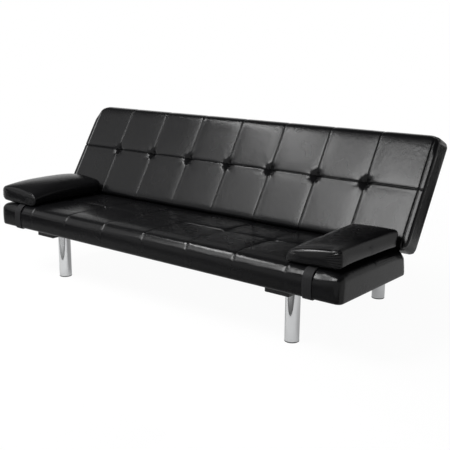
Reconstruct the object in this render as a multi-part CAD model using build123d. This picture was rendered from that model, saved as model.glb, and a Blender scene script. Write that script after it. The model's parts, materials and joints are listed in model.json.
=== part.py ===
"""Futon sofa bed: a quilted seat and folding back on two base rails, with two strapped arm pillows.

Sizes are in millimetres. X runs along the sofa, Y to its back and Z up, and the origin is on the floor
under the middle of the sofa. The back is drawn lying flat, as in the bed, and then swung up about its
hinge to the sofa angle. Both cushions come from one description of a quilted slab.
"""
import os
from dataclasses import dataclass
from math import cos, radians, sin, sqrt, tan

from build123d import *

os.makedirs("parts", exist_ok=True)

# Overall sizes
overall_depth = 750.0
seat_length = 1640.0
seat_depth = 434.0
seat_thickness = 83.0
back_length = 1680.0
back_height = 416.0
back_thickness = 72.0
sofa_lean = 31.0
fold_travel = 90.0 - sofa_lean

# Quilting of both cushions
seam_pitch = 206.5
seam_count = 7
crown_height = 14.0
seam_crown = 5.0
end_crown = 4.0
cap_flatness = 0.8
mid_seam_height = 5.0
tuft_level = -1.0
front_bulge = 3.0
fold_bulge = 1.0
seam_bulge_share = 0.2
end_round = 20.0
seat_front_round = 20.0
seat_rear_round = 36.0
seat_low_round = 8.0
seat_rear_bulge = 1.0
back_edge_round = 18.0
back_low_round = 10.0
back_top_bulge = 2.0
skin = 3.0
cavity_margin = 4.0
quilt_depth = 14.0
lip_width = 30.0
lip_thickness = 2.0
back_tuft_depth = 13.0
back_tuft_width = 42.0
seat_tuft_depth = 8.0
seat_tuft_width = 24.0

# Base
leg_diameter = 50.0
leg_wall = 1.5
leg_top_plate = 3.0
glide_height = 4.0
glide_plug = 10.0
leg_length = 180.0
leg_setback = 122.0
rear_leg_inset = 30.0
rail_spacing = 1144.0
rail_width = 95.0
rail_height = 20.0
rail_wall = 1.6
rail_setback = 29.0
rail_corner = 3.0
cap_thickness = 2.0
cap_plug = 8.0
pad_width = 60.0
pad_length = 50.0
pad_corner = 8.0
pad_height = 10.3
pad_gap = 0.5
dust_thickness = 1.0
rear_panel_thickness = 1.2
dust_overlap = 10.0

# Timber frames
timber = 22.0
cross_timber = 24.0
seat_foam_depth = 23.0
back_timber_height = 40.0
timber_inset = 6.0
back_timber_inset = 8.0
board_thickness = 3.0

# Fasteners and fits
fit = 0.1
plug_fit = 0.2
running_fit = 0.05
m8 = 8.0
m10 = 10.0
head_ratio = 1.7
head_height_ratio = 0.65
nut_height_ratio = 0.8
thread_end = 2.0
rail_bolt_setback = 40.0
rail_bolt_hinge_gap = 48.0
rail_bolt_share = 0.75
glide_chamfer = 1.0
overcut = 1.0

# Springs
wire = 3.6
spring_half_width = 22.0
spring_bars = 17
spring_bend = 9.0
clip_sheet = 1.2
clip_length = 24.0
clip_width = 10.0

# Folding hinges
hinge_room = 24.0
arm_thickness = 6.0
arm_width = 26.0
arm_reach = 250.0
hub_radius = 20.0
plate_thickness = 3.0
plate_reach = 230.0
plate_hub_radius = 18.0
short_plate_reach = 64.0
plate_shoulder = 4.0
bolts_each = 3
bolt_margin = 20.0
plate_bolt_pitch = 60.0
arm_bolt_pitch = 50.0
rivet_radius = 3.0
rivet_margin = 12.0
collar_radius = 5.0
collar_head = 2.0
side_gap = 0.4
pin_radius = 6.0
pin_head_radius = 9.0
pin_head_height = 3.0
slot_gap = 2.0
pocket_margin = 10.0
forward_release = 6.0
bed_gap = 12.0
sofa_overhang = 50.0
sofa_lift = 20.0
arm_cover = 1.0

# Tuft ties
tie_radius = 1.0
washer_radius = 11.0
washer_thickness = 2.0
tie_knot = 2.0

# Arm pillows and straps
pillow_width = 210.0
pillow_length = 364.0
pillow_edge = 46.0
pillow_crown = 40.0
pillow_sag = 8.0
pillow_side_bulge = 5.0
pillow_draw = 5.0
pillow_shoulder = 0.86
pillow_taper = 0.94
pillow_end_share = 0.72
pillow_skin = 2.0
pillow_front_setback = 15.0
filling_gap = 0.2
pillow_rest_gap = 0.3
strap_width = 35.0
strap_thickness = 1.8
strap_gap = 0.6
strap_offset = 704.0

# Levels and lines that follow from the sizes
rail_bottom = glide_height + leg_length
rail_top = rail_bottom + rail_height
seat_bottom = rail_top + dust_thickness
seat_top = seat_bottom + seat_thickness
pad_top = rail_top + pad_height
bed_bottom = pad_top + pad_gap + rear_panel_thickness
bed_level = bed_bottom + back_thickness
seat_front = -overall_depth / 2 + front_bulge + strap_gap + strap_thickness
seat_rear = seat_front + seat_depth
base_rear = overall_depth / 2
rail_front = seat_front + rail_setback
rail_line = rail_spacing / 2
leg_lines = (seat_front + leg_setback, base_rear - rear_leg_inset)

# The hinge point that carries the back's lower front edge from its place as a sofa to the bed's level
sofa_edge = (seat_rear - sofa_overhang, seat_top + sofa_lift)
bed_edge = (seat_rear + bed_gap, bed_level)
chord = (bed_edge[0] - sofa_edge[0], bed_edge[1] - sofa_edge[1])
chord_factor = 0.5 / tan(radians(fold_travel / 2))
pivot_y = (sofa_edge[0] + bed_edge[0]) / 2 + chord[1] * chord_factor
pivot_z = (sofa_edge[1] + bed_edge[1]) / 2 - chord[0] * chord_factor
fold_axis = Axis((0, pivot_y, pivot_z), (1, 0, 0))


@dataclass(frozen=True)
class Slab:
    """A quilted cushion lying flat: its limits, and the roundings of its long edges."""

    length: float
    near: float
    far: float
    bottom: float
    top: float
    near_round: float
    far_round: float
    bottom_round: float
    near_bulge: float
    far_bulge: float

    @property
    def middle(self):
        """The line of the seam between the two rows."""
        return (self.near + self.far) / 2

    @property
    def cavity_half_length(self):
        """How far the hollow inside reaches before the rounded end begins."""
        return self.length / 2 - end_round + cavity_margin


seat = Slab(seat_length, seat_front, seat_rear, seat_bottom, seat_top,
            seat_front_round, seat_rear_round, seat_low_round, front_bulge, seat_rear_bulge)
back = Slab(back_length, bed_edge[0], bed_edge[0] + back_height, bed_bottom, bed_level,
            back_edge_round, back_edge_round, back_low_round, fold_bulge, back_top_bulge)


def box_between(x_span, y_span, z_span):
    """A box between two limits on each axis."""
    spans = (x_span, y_span, z_span)
    middle = [(low + high) / 2 for low, high in spans]
    return Pos(*middle) * Box(*[high - low for low, high in spans])


def rod_x(x_span, y, z, radius):
    """A round bar along X."""
    low, high = x_span
    return Pos((low + high) / 2, y, z) * Rot(0, 90, 0) * Cylinder(radius, high - low)


def rod_z(x, y, z_span, radius):
    """A round bar along Z."""
    low, high = z_span
    return Pos(x, y, (low + high) / 2) * Cylinder(radius, high - low)


def hexagon(diameter, height):
    """A hexagon head or nut for a thread, standing on the origin."""
    return extrude(RegularPolygon(diameter * head_ratio / sqrt(3), 6), height)


def hex_z(x, y, z_span, diameter):
    """A hexagon head or nut on a vertical bolt."""
    low, high = z_span
    return Pos(x, y, low) * hexagon(diameter, high - low)


def hex_x(x_span, y, z, diameter):
    """A hexagon nut on a bolt along X."""
    low, high = x_span
    return Pos(low, y, z) * Rot(0, 90, 0) * hexagon(diameter, high - low)


def other_side(shape):
    """The same piece on the left of the sofa."""
    return mirror(shape, about=Plane.YZ)


def both_sides(shapes):
    """Pieces of the right side followed by the same pieces on the left."""
    return [*shapes, *[other_side(shape) for shape in shapes]]


def raised(shape):
    """A piece of the back, drawn in the bed, swung up to the sofa angle."""
    return shape.rotate(fold_axis, fold_travel)


def save(name, shapes):
    """Write one node, which may be a group of like pieces."""
    pieces = shapes if isinstance(shapes, list) else [shapes]
    solids = [solid for piece in pieces for solid in piece.solids()]
    export_step(solids[0] if len(solids) == 1 else Compound(children=solids), f"parts/{name}.step")


def corner_arc(x, y, z, radius, start):
    """A quarter round about a point, from a start angle in the plane across the slab."""
    angles = [radians(start + turn) for turn in (0, 45, 90)]
    return ThreePointArc(*[(x, y + radius * cos(angle), z + radius * sin(angle)) for angle in angles])


def slab_section(slab, x, inset, crown, seam, bulge_share):
    """The outline across a slab: flat below, rounded edges and one crown on each of the two rows."""
    near, far = slab.near + inset, slab.far - inset
    bottom, top = slab.bottom + inset, slab.top - inset
    near_round, far_round, low_round = [
        max(radius - inset, skin) for radius in (slab.near_round, slab.far_round, slab.bottom_round)
    ]
    middle = slab.middle
    near_start, far_start = near + near_round, far - far_round
    near_peak, far_peak = (near_start + middle) / 2, (far_start + middle) / 2
    near_level = (bottom + low_round + top - near_round) / 2
    far_level = (bottom + low_round + top - far_round) / 2
    edges = [
        Line((x, near + low_round, bottom), (x, far - low_round, bottom)),
        corner_arc(x, far - low_round, bottom + low_round, low_round, -90),
        ThreePointArc((x, far, bottom + low_round), (x, far + slab.far_bulge * bulge_share, far_level),
                      (x, far, top - far_round)),
        corner_arc(x, far - far_round, top - far_round, far_round, 0),
        ThreePointArc((x, far_start, top), (x, far_peak, top + crown), (x, middle, top + seam)),
        ThreePointArc((x, middle, top + seam), (x, near_peak, top + crown), (x, near_start, top)),
        corner_arc(x, near + near_round, top - near_round, near_round, 90),
        ThreePointArc((x, near, top - near_round), (x, near - slab.near_bulge * bulge_share, near_level),
                      (x, near, bottom + low_round)),
        corner_arc(x, near + low_round, bottom + low_round, low_round, 180),
    ]
    return Wire(edges)


def seam_lines():
    """Where the cross seams lie along the sofa."""
    return [seam_pitch * (number - (seam_count - 1) / 2) for number in range(seam_count)]


def quilted_slab(slab):
    """Swollen columns between the cross seams, with a rounded cap at each end."""
    end_line = slab.length / 2 - end_round
    lines = [-end_line, *seam_lines(), end_line]
    pieces = []
    for left, right in zip(lines[:-1], lines[1:]):
        left_crown = end_crown if left == -end_line else seam_crown
        right_crown = end_crown if right == end_line else seam_crown
        sections = [
            slab_section(slab, left, 0.0, left_crown, tuft_level, seam_bulge_share),
            slab_section(slab, (left + right) / 2, 0.0, crown_height, mid_seam_height, 1.0),
            slab_section(slab, right, 0.0, right_crown, tuft_level, seam_bulge_share),
        ]
        pieces.append(Solid.make_loft(sections))
    for side in (-1, 1):
        sections = []
        for turn in (0, 45, 90):
            x = side * (end_line + end_round * sin(radians(turn)))
            inset = end_round * (1 - cos(radians(turn)))
            share = cos(radians(turn * cap_flatness))
            bulge = seam_bulge_share * share
            sections.append(slab_section(slab, x, inset, end_crown * share, tuft_level * share, bulge))
        pieces.append(Solid.make_loft(sections))
    return pieces[0].fuse(*pieces[1:])


def slab_cavity(slab):
    """The plain hollow inside a quilted cover."""
    near, far = slab.near + skin, slab.far - skin
    bottom, top = slab.bottom + lip_thickness, slab.top - quilt_depth
    near_round, far_round, low_round = [
        radius - skin for radius in (slab.near_round, slab.far_round, slab.bottom_round)
    ]
    x = -slab.cavity_half_length
    outline = Wire([
        Line((x, near + low_round, bottom), (x, far - low_round, bottom)),
        corner_arc(x, far - low_round, bottom + low_round, low_round, -90),
        Line((x, far, bottom + low_round), (x, far, top - far_round)),
        corner_arc(x, far - far_round, top - far_round, far_round, 0),
        Line((x, far - far_round, top), (x, near + near_round, top)),
        corner_arc(x, near + near_round, top - near_round, near_round, 90),
        Line((x, near, top - near_round), (x, near, bottom + low_round)),
        corner_arc(x, near + low_round, bottom + low_round, low_round, 180),
    ])
    return extrude(Face(outline), 2 * slab.cavity_half_length, dir=(1, 0, 0))


def lip_opening(slab):
    """The opening under a cover, inside the lip that is stapled to the frame."""
    half_length = slab.cavity_half_length - lip_width
    return box_between((-half_length, half_length), (slab.near + lip_width, slab.far - lip_width),
                       (slab.bottom - overcut, slab.bottom + lip_thickness + overcut))


def tuft_dimples(slab, depth, width):
    """Round hollows drawn in where the cross seams meet the middle seam, as balls turned off the seams."""
    radius = (width ** 2 / 4 + depth ** 2) / (2 * depth)
    level = slab.top + mid_seam_height - depth + radius
    return [Pos(x, slab.middle, level) * Rot(17, 31, 43) * Sphere(radius) for x in seam_lines()]


def under_panel(slab, thickness):
    """A thin cloth panel under the slab that covers the opening and the inner part of the lip."""
    half_length = slab.cavity_half_length - lip_width + dust_overlap
    reach = lip_width - dust_overlap
    return box_between((-half_length, half_length), (slab.near + reach, slab.far - reach),
                       (slab.bottom - thickness, slab.bottom))


# Base rails with their caps
rail_middle = (rail_front + base_rear) / 2
rail_bolt_lines = (rail_front + rail_bolt_setback, pivot_y - rail_bolt_hinge_gap)
bolt_radius = m8 / 2
stud_radius = m10 / 2
cap_outline = RectangleRounded(rail_width, rail_height, rail_corner)
bore_width, bore_height = rail_width - 2 * rail_wall, rail_height - 2 * rail_wall
bore_corner = rail_corner - rail_wall
bore_outline = RectangleRounded(bore_width, bore_height, bore_corner)
plug_outline = RectangleRounded(bore_width - 2 * plug_fit, bore_height - 2 * plug_fit, bore_corner)
across = Plane((rail_line, rail_front + cap_thickness, rail_bottom + rail_height / 2), (1, 0, 0), (0, 1, 0))
tube_length = base_rear - rail_front - 2 * cap_thickness
right_rail = extrude(across * cap_outline, tube_length) - extrude(across * bore_outline, tube_length)
lower_wall = (rail_bottom - overcut, rail_bottom + rail_height / 2)
for leg_y in leg_lines:
    right_rail -= rod_z(rail_line, leg_y, lower_wall, stud_radius + fit)
for bolt_y in rail_bolt_lines:
    right_rail -= rod_z(rail_line, bolt_y, (rail_bottom - overcut, rail_top + overcut), bolt_radius + fit)
front_cap = extrude(across * cap_outline, -cap_thickness) + extrude(across * plug_outline, cap_plug)
rear_cap = mirror(front_cap, about=Plane((0, rail_middle, 0), (1, 0, 0), (0, 1, 0)))
save("right_base_rail", right_rail)
save("left_base_rail", other_side(right_rail))
save("rail_end_caps", both_sides([front_cap, rear_cap]))

# Legs, their bolts and nuts, and the glides they stand on
leg_radius = leg_diameter / 2
head_height = m10 * head_height_ratio
leg_bolts = []
leg_nuts = []
foot_glides = []
for leg_y, row in zip(leg_lines, ("front", "rear")):
    leg = rod_z(rail_line, leg_y, (glide_height, rail_bottom), leg_radius)
    leg -= rod_z(rail_line, leg_y, (glide_height, rail_bottom - leg_top_plate), leg_radius - leg_wall)
    leg -= rod_z(rail_line, leg_y, (rail_bottom - leg_top_plate, rail_bottom), stud_radius + fit)
    save(f"{row}_right_leg", leg)
    save(f"{row}_left_leg", other_side(leg))
    plate_under = rail_bottom - leg_top_plate
    nut_span = (rail_bottom + rail_wall, rail_bottom + rail_wall + m10 * nut_height_ratio)
    bolt = hex_z(rail_line, leg_y, (plate_under - head_height, plate_under), m10)
    leg_bolts.append(bolt + rod_z(rail_line, leg_y, (plate_under, nut_span[1] + thread_end), stud_radius))
    nut = hex_z(rail_line, leg_y, nut_span, m10)
    leg_nuts.append(nut - rod_z(rail_line, leg_y, nut_span, stud_radius + fit))
    glide = rod_z(rail_line, leg_y, (0, glide_height), leg_radius)
    glide = chamfer(glide.edges().sort_by(Axis.Z)[:1], glide_chamfer)
    foot_glides.append(glide + rod_z(rail_line, leg_y, (glide_height, glide_height + glide_plug),
                                     leg_radius - leg_wall - plug_fit))
save("leg_bolts", both_sides(leg_bolts))
save("leg_nuts", both_sides(leg_nuts))
save("foot_glides", both_sides(foot_glides))

# Rubber pads on the rails, which carry the back when it lies flat
pad_rear = leg_lines[1] - leg_radius / 2
pad = box_between((rail_line - pad_width / 2, rail_line + pad_width / 2), (pad_rear - pad_length, pad_rear),
                  (rail_top, pad_top))
pad = fillet(pad.edges().filter_by(Axis.Z), pad_corner)
save("back_support_pads", both_sides([pad]))

# Lines of the seat frame, whose rails leave the depth of the springs and foam above them
seat_low = seat.bottom + lip_thickness
seat_timber_height = seat_thickness - lip_thickness - quilt_depth - seat_foam_depth
seat_high = seat_low + seat_timber_height
frame_front = seat.near + skin + timber_inset
frame_rear = seat.far - skin - timber_inset
frame_end = seat.cavity_half_length - timber_inset
cross_inner = rail_line - cross_timber / 2
cross_outer = rail_line + cross_timber / 2
cheek_inner = cross_outer + hinge_room
cheek_outer = cheek_inner + timber
seat_rail_levels = (seat_low, seat_high)
rail_run = (frame_front + timber, frame_rear)
rear_run = (frame_rear - timber, frame_rear)

# Folding hinges, right side: a long plate on the seat frame, the arm of the back, a short outer plate
long_plate_span = (cross_outer, cross_outer + plate_thickness)
arm_span = (long_plate_span[1] + side_gap, long_plate_span[1] + side_gap + arm_thickness)
short_plate_span = (arm_span[1] + side_gap, arm_span[1] + side_gap + plate_thickness)
hinge_span = (long_plate_span[0], short_plate_span[1])
plate_levels = (pivot_z - plate_hub_radius, pivot_z + plate_shoulder)
plate_bolt_level = sum(plate_levels) / 2
first_plate_bolt = pivot_y - plate_reach + bolt_margin
last_arm_bolt = pivot_y + arm_reach - bolt_margin
plate_bolt_lines = [first_plate_bolt + plate_bolt_pitch * number for number in range(bolts_each)]
arm_bolt_lines = [last_arm_bolt - arm_bolt_pitch * number for number in range(bolts_each)]
rivet_lines = (pivot_y - hub_radius - rivet_margin, pivot_y - short_plate_reach + rivet_margin)

long_plate = box_between(long_plate_span, (pivot_y - plate_reach, pivot_y), plate_levels)
long_plate += rod_x(long_plate_span, pivot_y, pivot_z, plate_hub_radius)
long_plate -= rod_x(long_plate_span, pivot_y, pivot_z, pin_radius + running_fit)
short_plate = box_between(short_plate_span, (pivot_y - short_plate_reach, pivot_y), plate_levels)
short_plate += rod_x(short_plate_span, pivot_y, pivot_z, plate_hub_radius)
short_plate -= rod_x(short_plate_span, pivot_y, pivot_z, pin_radius + running_fit)
hinge_rivets = []
for rivet_y in rivet_lines:
    hole = rod_x(hinge_span, rivet_y, plate_bolt_level, rivet_radius + running_fit)
    long_plate -= hole
    short_plate -= hole
    rivet = rod_x(hinge_span, rivet_y, plate_bolt_level, rivet_radius)
    rivet += rod_x((long_plate_span[1], short_plate_span[0]), rivet_y, plate_bolt_level, collar_radius)
    rivet += rod_x((hinge_span[1], hinge_span[1] + collar_head), rivet_y, plate_bolt_level, collar_radius)
    hinge_rivets.append(rivet)
for bolt_y in plate_bolt_lines:
    long_plate -= rod_x(long_plate_span, bolt_y, plate_bolt_level, bolt_radius + fit)

arm = box_between(arm_span, (pivot_y, pivot_y + arm_reach), (pivot_z - arm_width / 2, pivot_z + arm_width / 2))
arm += rod_x(arm_span, pivot_y, pivot_z, hub_radius)
arm -= rod_x(arm_span, pivot_y, pivot_z, pin_radius + running_fit)
for bolt_y in arm_bolt_lines:
    arm -= rod_x(arm_span, bolt_y, pivot_z, bolt_radius + fit)
pivot_pin = rod_x(hinge_span, pivot_y, pivot_z, pin_radius)
pivot_pin += rod_x((hinge_span[1], hinge_span[1] + pin_head_height), pivot_y, pivot_z, pin_head_radius)

bolt_head = m8 * head_height_ratio
bolt_nut = m8 * nut_height_ratio


def bolts_and_nuts(head_x, nut_x, lines, level):
    """Bolts along X with their heads on one face and a nut on the other."""
    bolts = []
    nuts = []
    nut_span = (nut_x - bolt_nut, nut_x)
    for y in lines:
        shank = rod_x((nut_span[0] - thread_end, head_x), y, level, bolt_radius)
        bolts.append(shank + hex_x((head_x, head_x + bolt_head), y, level, m8))
        nuts.append(hex_x(nut_span, y, level, m8) - rod_x(nut_span, y, level, bolt_radius + fit))
    return bolts, nuts


upright_span = (arm_span[0] - cross_timber, arm_span[0])
plate_bolts, plate_nuts = bolts_and_nuts(long_plate_span[1], cross_inner, plate_bolt_lines, plate_bolt_level)
arm_bolts, arm_nuts = bolts_and_nuts(arm_span[1], upright_span[0], arm_bolt_lines, pivot_z)

for side, place in (("right", lambda shape: shape), ("left", other_side)):
    save(f"{side}_hinge_seat_plate", place(long_plate))
    save(f"{side}_hinge_outer_plate", place(short_plate))
    save(f"{side}_hinge_pivot_pin", place(pivot_pin))
    save(f"{side}_hinge_back_arm", place(raised(arm)))
save("hinge_rivets", both_sides(hinge_rivets))
save("hinge_seat_bolts", both_sides(plate_bolts))
save("hinge_seat_nuts", both_sides(plate_nuts))
save("hinge_back_bolts", both_sides([raised(bolt) for bolt in arm_bolts]))
save("hinge_back_nuts", both_sides([raised(nut) for nut in arm_nuts]))

# Seat frame
front_rail = box_between((-frame_end, frame_end), (frame_front, frame_front + timber), seat_rail_levels)
rear_rail = box_between((-cross_inner, cross_inner), rear_run, seat_rail_levels)
stub_rail = box_between((cheek_outer, frame_end - timber), rear_run, seat_rail_levels)
end_rail = box_between((frame_end - timber, frame_end), rail_run, seat_rail_levels)
cross_rail = box_between((cross_inner, cross_outer), rail_run, seat_rail_levels)
cheek_rail = box_between((cheek_inner, cheek_outer), rail_run, seat_rail_levels)
rail_bolt_top = seat_low + seat_timber_height * rail_bolt_share
rail_bolts = []
for bolt_y in rail_bolt_lines:
    cross_rail -= rod_z(rail_line, bolt_y, (seat_low, rail_bolt_top + overcut), bolt_radius + fit)
    bolt = hex_z(rail_line, bolt_y, (rail_bottom - bolt_head, rail_bottom), m8)
    rail_bolts.append(bolt + rod_z(rail_line, bolt_y, (rail_bottom, rail_bolt_top), bolt_radius))
for bolt_y in plate_bolt_lines:
    cross_rail -= rod_x((cross_inner, cross_outer), bolt_y, plate_bolt_level, bolt_radius + fit)
save("seat_front_rail", front_rail)
save("seat_rear_rail", rear_rail)
save("seat_rear_stub_rails", both_sides([stub_rail]))
save("seat_right_end_rail", end_rail)
save("seat_left_end_rail", other_side(end_rail))
save("seat_right_cross_rail", cross_rail)
save("seat_left_cross_rail", other_side(cross_rail))
save("seat_hinge_cheek_rails", both_sides([cheek_rail]))
save("rail_bolts", both_sides(rail_bolts))

# Zigzag springs, one under each column, held by clips on the front and rear rails
wire_radius = wire / 2
spring_level = seat_high + wire_radius
spring_start = frame_front + timber / 2
spring_end = frame_rear - timber / 2
bar_pitch = (spring_end - spring_start) / (spring_bars - 1)
corners = []
for bar in range(spring_bars):
    side = 1 if bar % 2 else -1
    bar_y = spring_start + bar_pitch * bar
    corners += [(-side * spring_half_width, bar_y), (side * spring_half_width, bar_y)]
spring_path = FilletPolyline(*corners, radius=spring_bend)
spring_profile = Plane(spring_path @ 0, z_dir=spring_path % 0) * Circle(wire_radius)
spring = Pos(0, 0, spring_level) * sweep(spring_profile, path=spring_path)
clip = box_between((-clip_length / 2, clip_length / 2), (-clip_width / 2, clip_width / 2),
                   (seat_high + wire, seat_high + wire + clip_sheet))
clip += box_between((-clip_length / 2, clip_length / 2), (clip_width / 2 - clip_sheet, clip_width / 2),
                    (seat_high, seat_high + wire))
lines = [-seat.length / 2, *seam_lines(), seat.length / 2]
column_lines = [(left + right) / 2 for left, right in zip(lines[:-1], lines[1:])]
save("seat_springs", [Pos(x, 0, 0) * spring for x in column_lines])
save("seat_spring_clips", [Pos(x, y, 0) * clip for x in column_lines for y in (spring_start, spring_end)])

# Seat padding, quilted cover and dust cover
seat_hollow = slab_cavity(seat)
foam_low = seat_high + wire + clip_sheet
foam_block = box_between((-seat_length, seat_length), (seat.near, seat.far), (foam_low, seat.top))
pocket_span = (cross_outer, cheek_inner)
pocket_front = pivot_y - hub_radius - pocket_margin
hinge_pocket = box_between(pocket_span, (pocket_front, seat.far), (foam_low - overcut, seat.top))
seat_foam = (seat_hollow & foam_block) - both_sides([hinge_pocket])
save("seat_foam", seat_foam)

slot_span = (arm_span[0] - slot_gap, arm_span[1] + slot_gap)
slot_half = arm_width / 2 + slot_gap
swing = radians(fold_travel + forward_release)
far_reach = 2 * seat_thickness
slot_outline = Polyline(
    (slot_span[0], pivot_y, pivot_z - slot_half),
    (slot_span[0], pivot_y + far_reach, pivot_z - slot_half),
    (slot_span[0], pivot_y + far_reach, pivot_z + far_reach),
    (slot_span[0], pivot_y + far_reach * cos(swing) - slot_half * sin(swing),
     pivot_z + far_reach * sin(swing) + slot_half * cos(swing)),
    (slot_span[0], pivot_y - slot_half * sin(swing), pivot_z + slot_half * cos(swing)),
    close=True,
)
arm_slot = extrude(Face(Wire(slot_outline.edges())), slot_span[1] - slot_span[0], dir=(1, 0, 0))
seat_cover = quilted_slab(seat) - seat_hollow - lip_opening(seat) - both_sides([arm_slot])
seat_cover -= tuft_dimples(seat, seat_tuft_depth, seat_tuft_width)
save("seat_cover", seat_cover)
dust_cover = under_panel(seat, dust_thickness)
through_cloth = (rail_top - overcut, seat.bottom + overcut)
for bolt_y in rail_bolt_lines:
    dust_cover -= both_sides([rod_z(rail_line, bolt_y, through_cloth, bolt_radius + fit)])
save("seat_dust_cover", dust_cover)

# Back frame, drawn flat, whose rails are at least high enough to bury the hinge arms
back_low = back.bottom + lip_thickness
back_high = max(back_low + back_timber_height, pivot_z + arm_width / 2 + arm_cover)
back_near = back.near + skin + back_timber_inset
back_far = back.far - skin - back_timber_inset
back_end = back.cavity_half_length - back_timber_inset
back_levels = (back_low, back_high)
back_run = (back_near + timber, back_far - timber)
lower_rail = box_between((-back_end, back_end), (back_near, back_near + timber), back_levels)
upper_rail = box_between((-back_end, back_end), (back_far - timber, back_far), back_levels)
back_end_rail = box_between((back_end - timber, back_end), back_run, back_levels)
upright = box_between(upright_span, back_run, back_levels)
middle_upright_line = seam_pitch * 3 / 2
middle_upright = box_between((middle_upright_line - timber / 2, middle_upright_line + timber / 2), back_run,
                             back_levels)
passage_run = (back.near - 2 * fold_bulge, back_near + timber + overcut)
passage_levels = (pivot_z - arm_width / 2 - fit, pivot_z + arm_width / 2 + fit)
arm_passage = box_between((arm_span[0] - fit, arm_span[1] + fit), passage_run, passage_levels)
lower_rail -= both_sides([arm_passage])
for bolt_y in arm_bolt_lines:
    upright -= rod_x(upright_span, bolt_y, pivot_z, bolt_radius + fit)
save("back_lower_rail", raised(lower_rail))
save("back_upper_rail", raised(upper_rail))
save("back_right_end_rail", raised(back_end_rail))
save("back_left_end_rail", other_side(raised(back_end_rail)))
save("back_right_upright", raised(upright))
save("back_left_upright", other_side(raised(upright)))
save("back_middle_uprights", both_sides([raised(middle_upright)]))

# Back board, padding, ties, quilted cover and rear panel
back_hollow = slab_cavity(back)
board_levels = (back_high, back_high + board_thickness)
tuft_bottom = back.top + mid_seam_height - back_tuft_depth
tie_low = back_high - washer_thickness - tie_knot
ties = [rod_z(x, back.middle, (tie_low, tuft_bottom + tie_radius), tie_radius) for x in seam_lines()]
hole_levels = (tie_low - overcut, back.top + overcut)
tie_holes = [rod_z(x, back.middle, hole_levels, tie_radius + fit) for x in seam_lines()]
washers = [
    rod_z(x, back.middle, (back_high - washer_thickness, back_high), washer_radius) - hole
    for x, hole in zip(seam_lines(), tie_holes)
]
back_board = box_between((-back_end, back_end), (back_near, back_far), board_levels) - tie_holes
foam_space = box_between((-back_length, back_length), (back.near, back.far), (board_levels[1], back.top))
back_foam = (back_hollow & foam_space) - tie_holes
back_cover = quilted_slab(back) - back_hollow - lip_opening(back) - both_sides([arm_passage])
back_cover -= tuft_dimples(back, back_tuft_depth, back_tuft_width)
back_cover -= tie_holes
save("back_board", raised(back_board))
save("back_foam", raised(back_foam))
save("back_cover", raised(back_cover))
save("back_tuft_ties", [raised(tie) for tie in ties])
save("back_tuft_washers", [raised(washer) for washer in washers])
save("back_rear_panel", raised(under_panel(back, rear_panel_thickness)))


@dataclass(frozen=True)
class PillowPlace:
    """Where one arm pillow lies on the seat, and how far its outer side is tipped up."""

    centre: float
    tilt: float


def pillow_section(y, half_width, edge, crown, inset):
    """The outline across a pillow: four bowed sides that meet at the sewn edges."""
    width = half_width - inset
    low, high = inset, edge - inset
    bulge = pillow_side_bulge * edge / pillow_edge
    sag = pillow_sag * crown / pillow_crown
    corners = ((-width, y, low), (width, y, low), (width, y, high), (-width, y, high))
    return Wire([
        ThreePointArc(corners[0], (0, y, low - sag), corners[1]),
        ThreePointArc(corners[1], (width + bulge, y, edge / 2), corners[2]),
        ThreePointArc(corners[2], (0, y, high + crown), corners[3]),
        ThreePointArc(corners[3], (-width - bulge, y, edge / 2), corners[0]),
    ])


def pillow_form(inset):
    """A plump pillow about the origin, drawn in along its sides and lower at both ends."""
    half_length = pillow_length / 2 - inset
    half_width = pillow_width / 2 - pillow_side_bulge
    sections = []
    for share in (-1.0, -pillow_shoulder, 0.0, pillow_shoulder, 1.0):
        fullness = sqrt(1 - (pillow_taper * share) ** 2)
        width = half_width - pillow_draw * (1 - share ** 2)
        edge = pillow_edge * (pillow_end_share + (1 - pillow_end_share) * fullness)
        sections.append(pillow_section(share * half_length, width, edge, pillow_crown * fullness, inset))
    return Solid.make_loft(sections)


# Straps pulled taut round the fullest section of the outer columns, and the pillows that ride on them
strap_slab = Slab(seat.length, seat.near, seat.far, seat.bottom - dust_thickness, seat.top, seat.near_round,
                  seat.far_round, seat.bottom_round, seat.near_bulge, seat.far_bulge)
fullest = slab_section(strap_slab, 0.0, 0.0, crown_height, mid_seam_height, 1.0)
across_seat = Plane((0, 0, 0), x_dir=(0, 1, 0), z_dir=(1, 0, 0))
bows = [across_seat.to_local_coords(edge) for edge in fullest.edges().filter_by(GeomType.CIRCLE)]
taut = make_hull(bows)
strap_inner = offset(taut, strap_gap, kind=Kind.INTERSECTION)
strap_outer = offset(taut, strap_gap + strap_thickness, kind=Kind.INTERSECTION)
strap_loop = extrude(across_seat * (strap_outer - strap_inner), strap_width / 2, both=True)
strap_top = seat.top + crown_height + strap_gap + strap_thickness
pillow_middle = seat_front + pillow_front_setback + pillow_length / 2
sag_radius = ((pillow_width / 2) ** 2 + pillow_sag ** 2) / (2 * pillow_sag)
pillow_places = {"right": PillowPlace(711.0, 6.0), "left": PillowPlace(-730.0, 1.5)}
outer_form = pillow_form(0.0)
pillow_cover = outer_form - pillow_form(pillow_skin)
pillow_filling = pillow_form(pillow_skin + filling_gap)
for side, spot in pillow_places.items():
    outward = 1 if spot.centre > 0 else -1
    strap_x = outward * strap_offset
    strap_shift = abs(spot.centre) - strap_offset
    strap_near, strap_far = strap_shift + strap_width / 2, strap_shift - strap_width / 2
    slope = tan(radians(spot.tilt))
    touch = min(max(sag_radius * slope, strap_far), strap_near)
    lift = pillow_sag + touch * slope - touch ** 2 / (2 * sag_radius) + pillow_rest_gap
    placed = Pos(spot.centre, pillow_middle, strap_top + lift) * Rot(0, -outward * spot.tilt, 0)
    save(f"{side}_pillow_cover", placed * pillow_cover)
    save(f"{side}_pillow_filling", placed * pillow_filling)
    save(f"{side}_pillow_strap", Pos(strap_x, 0, 0) * strap_loop)
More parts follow.
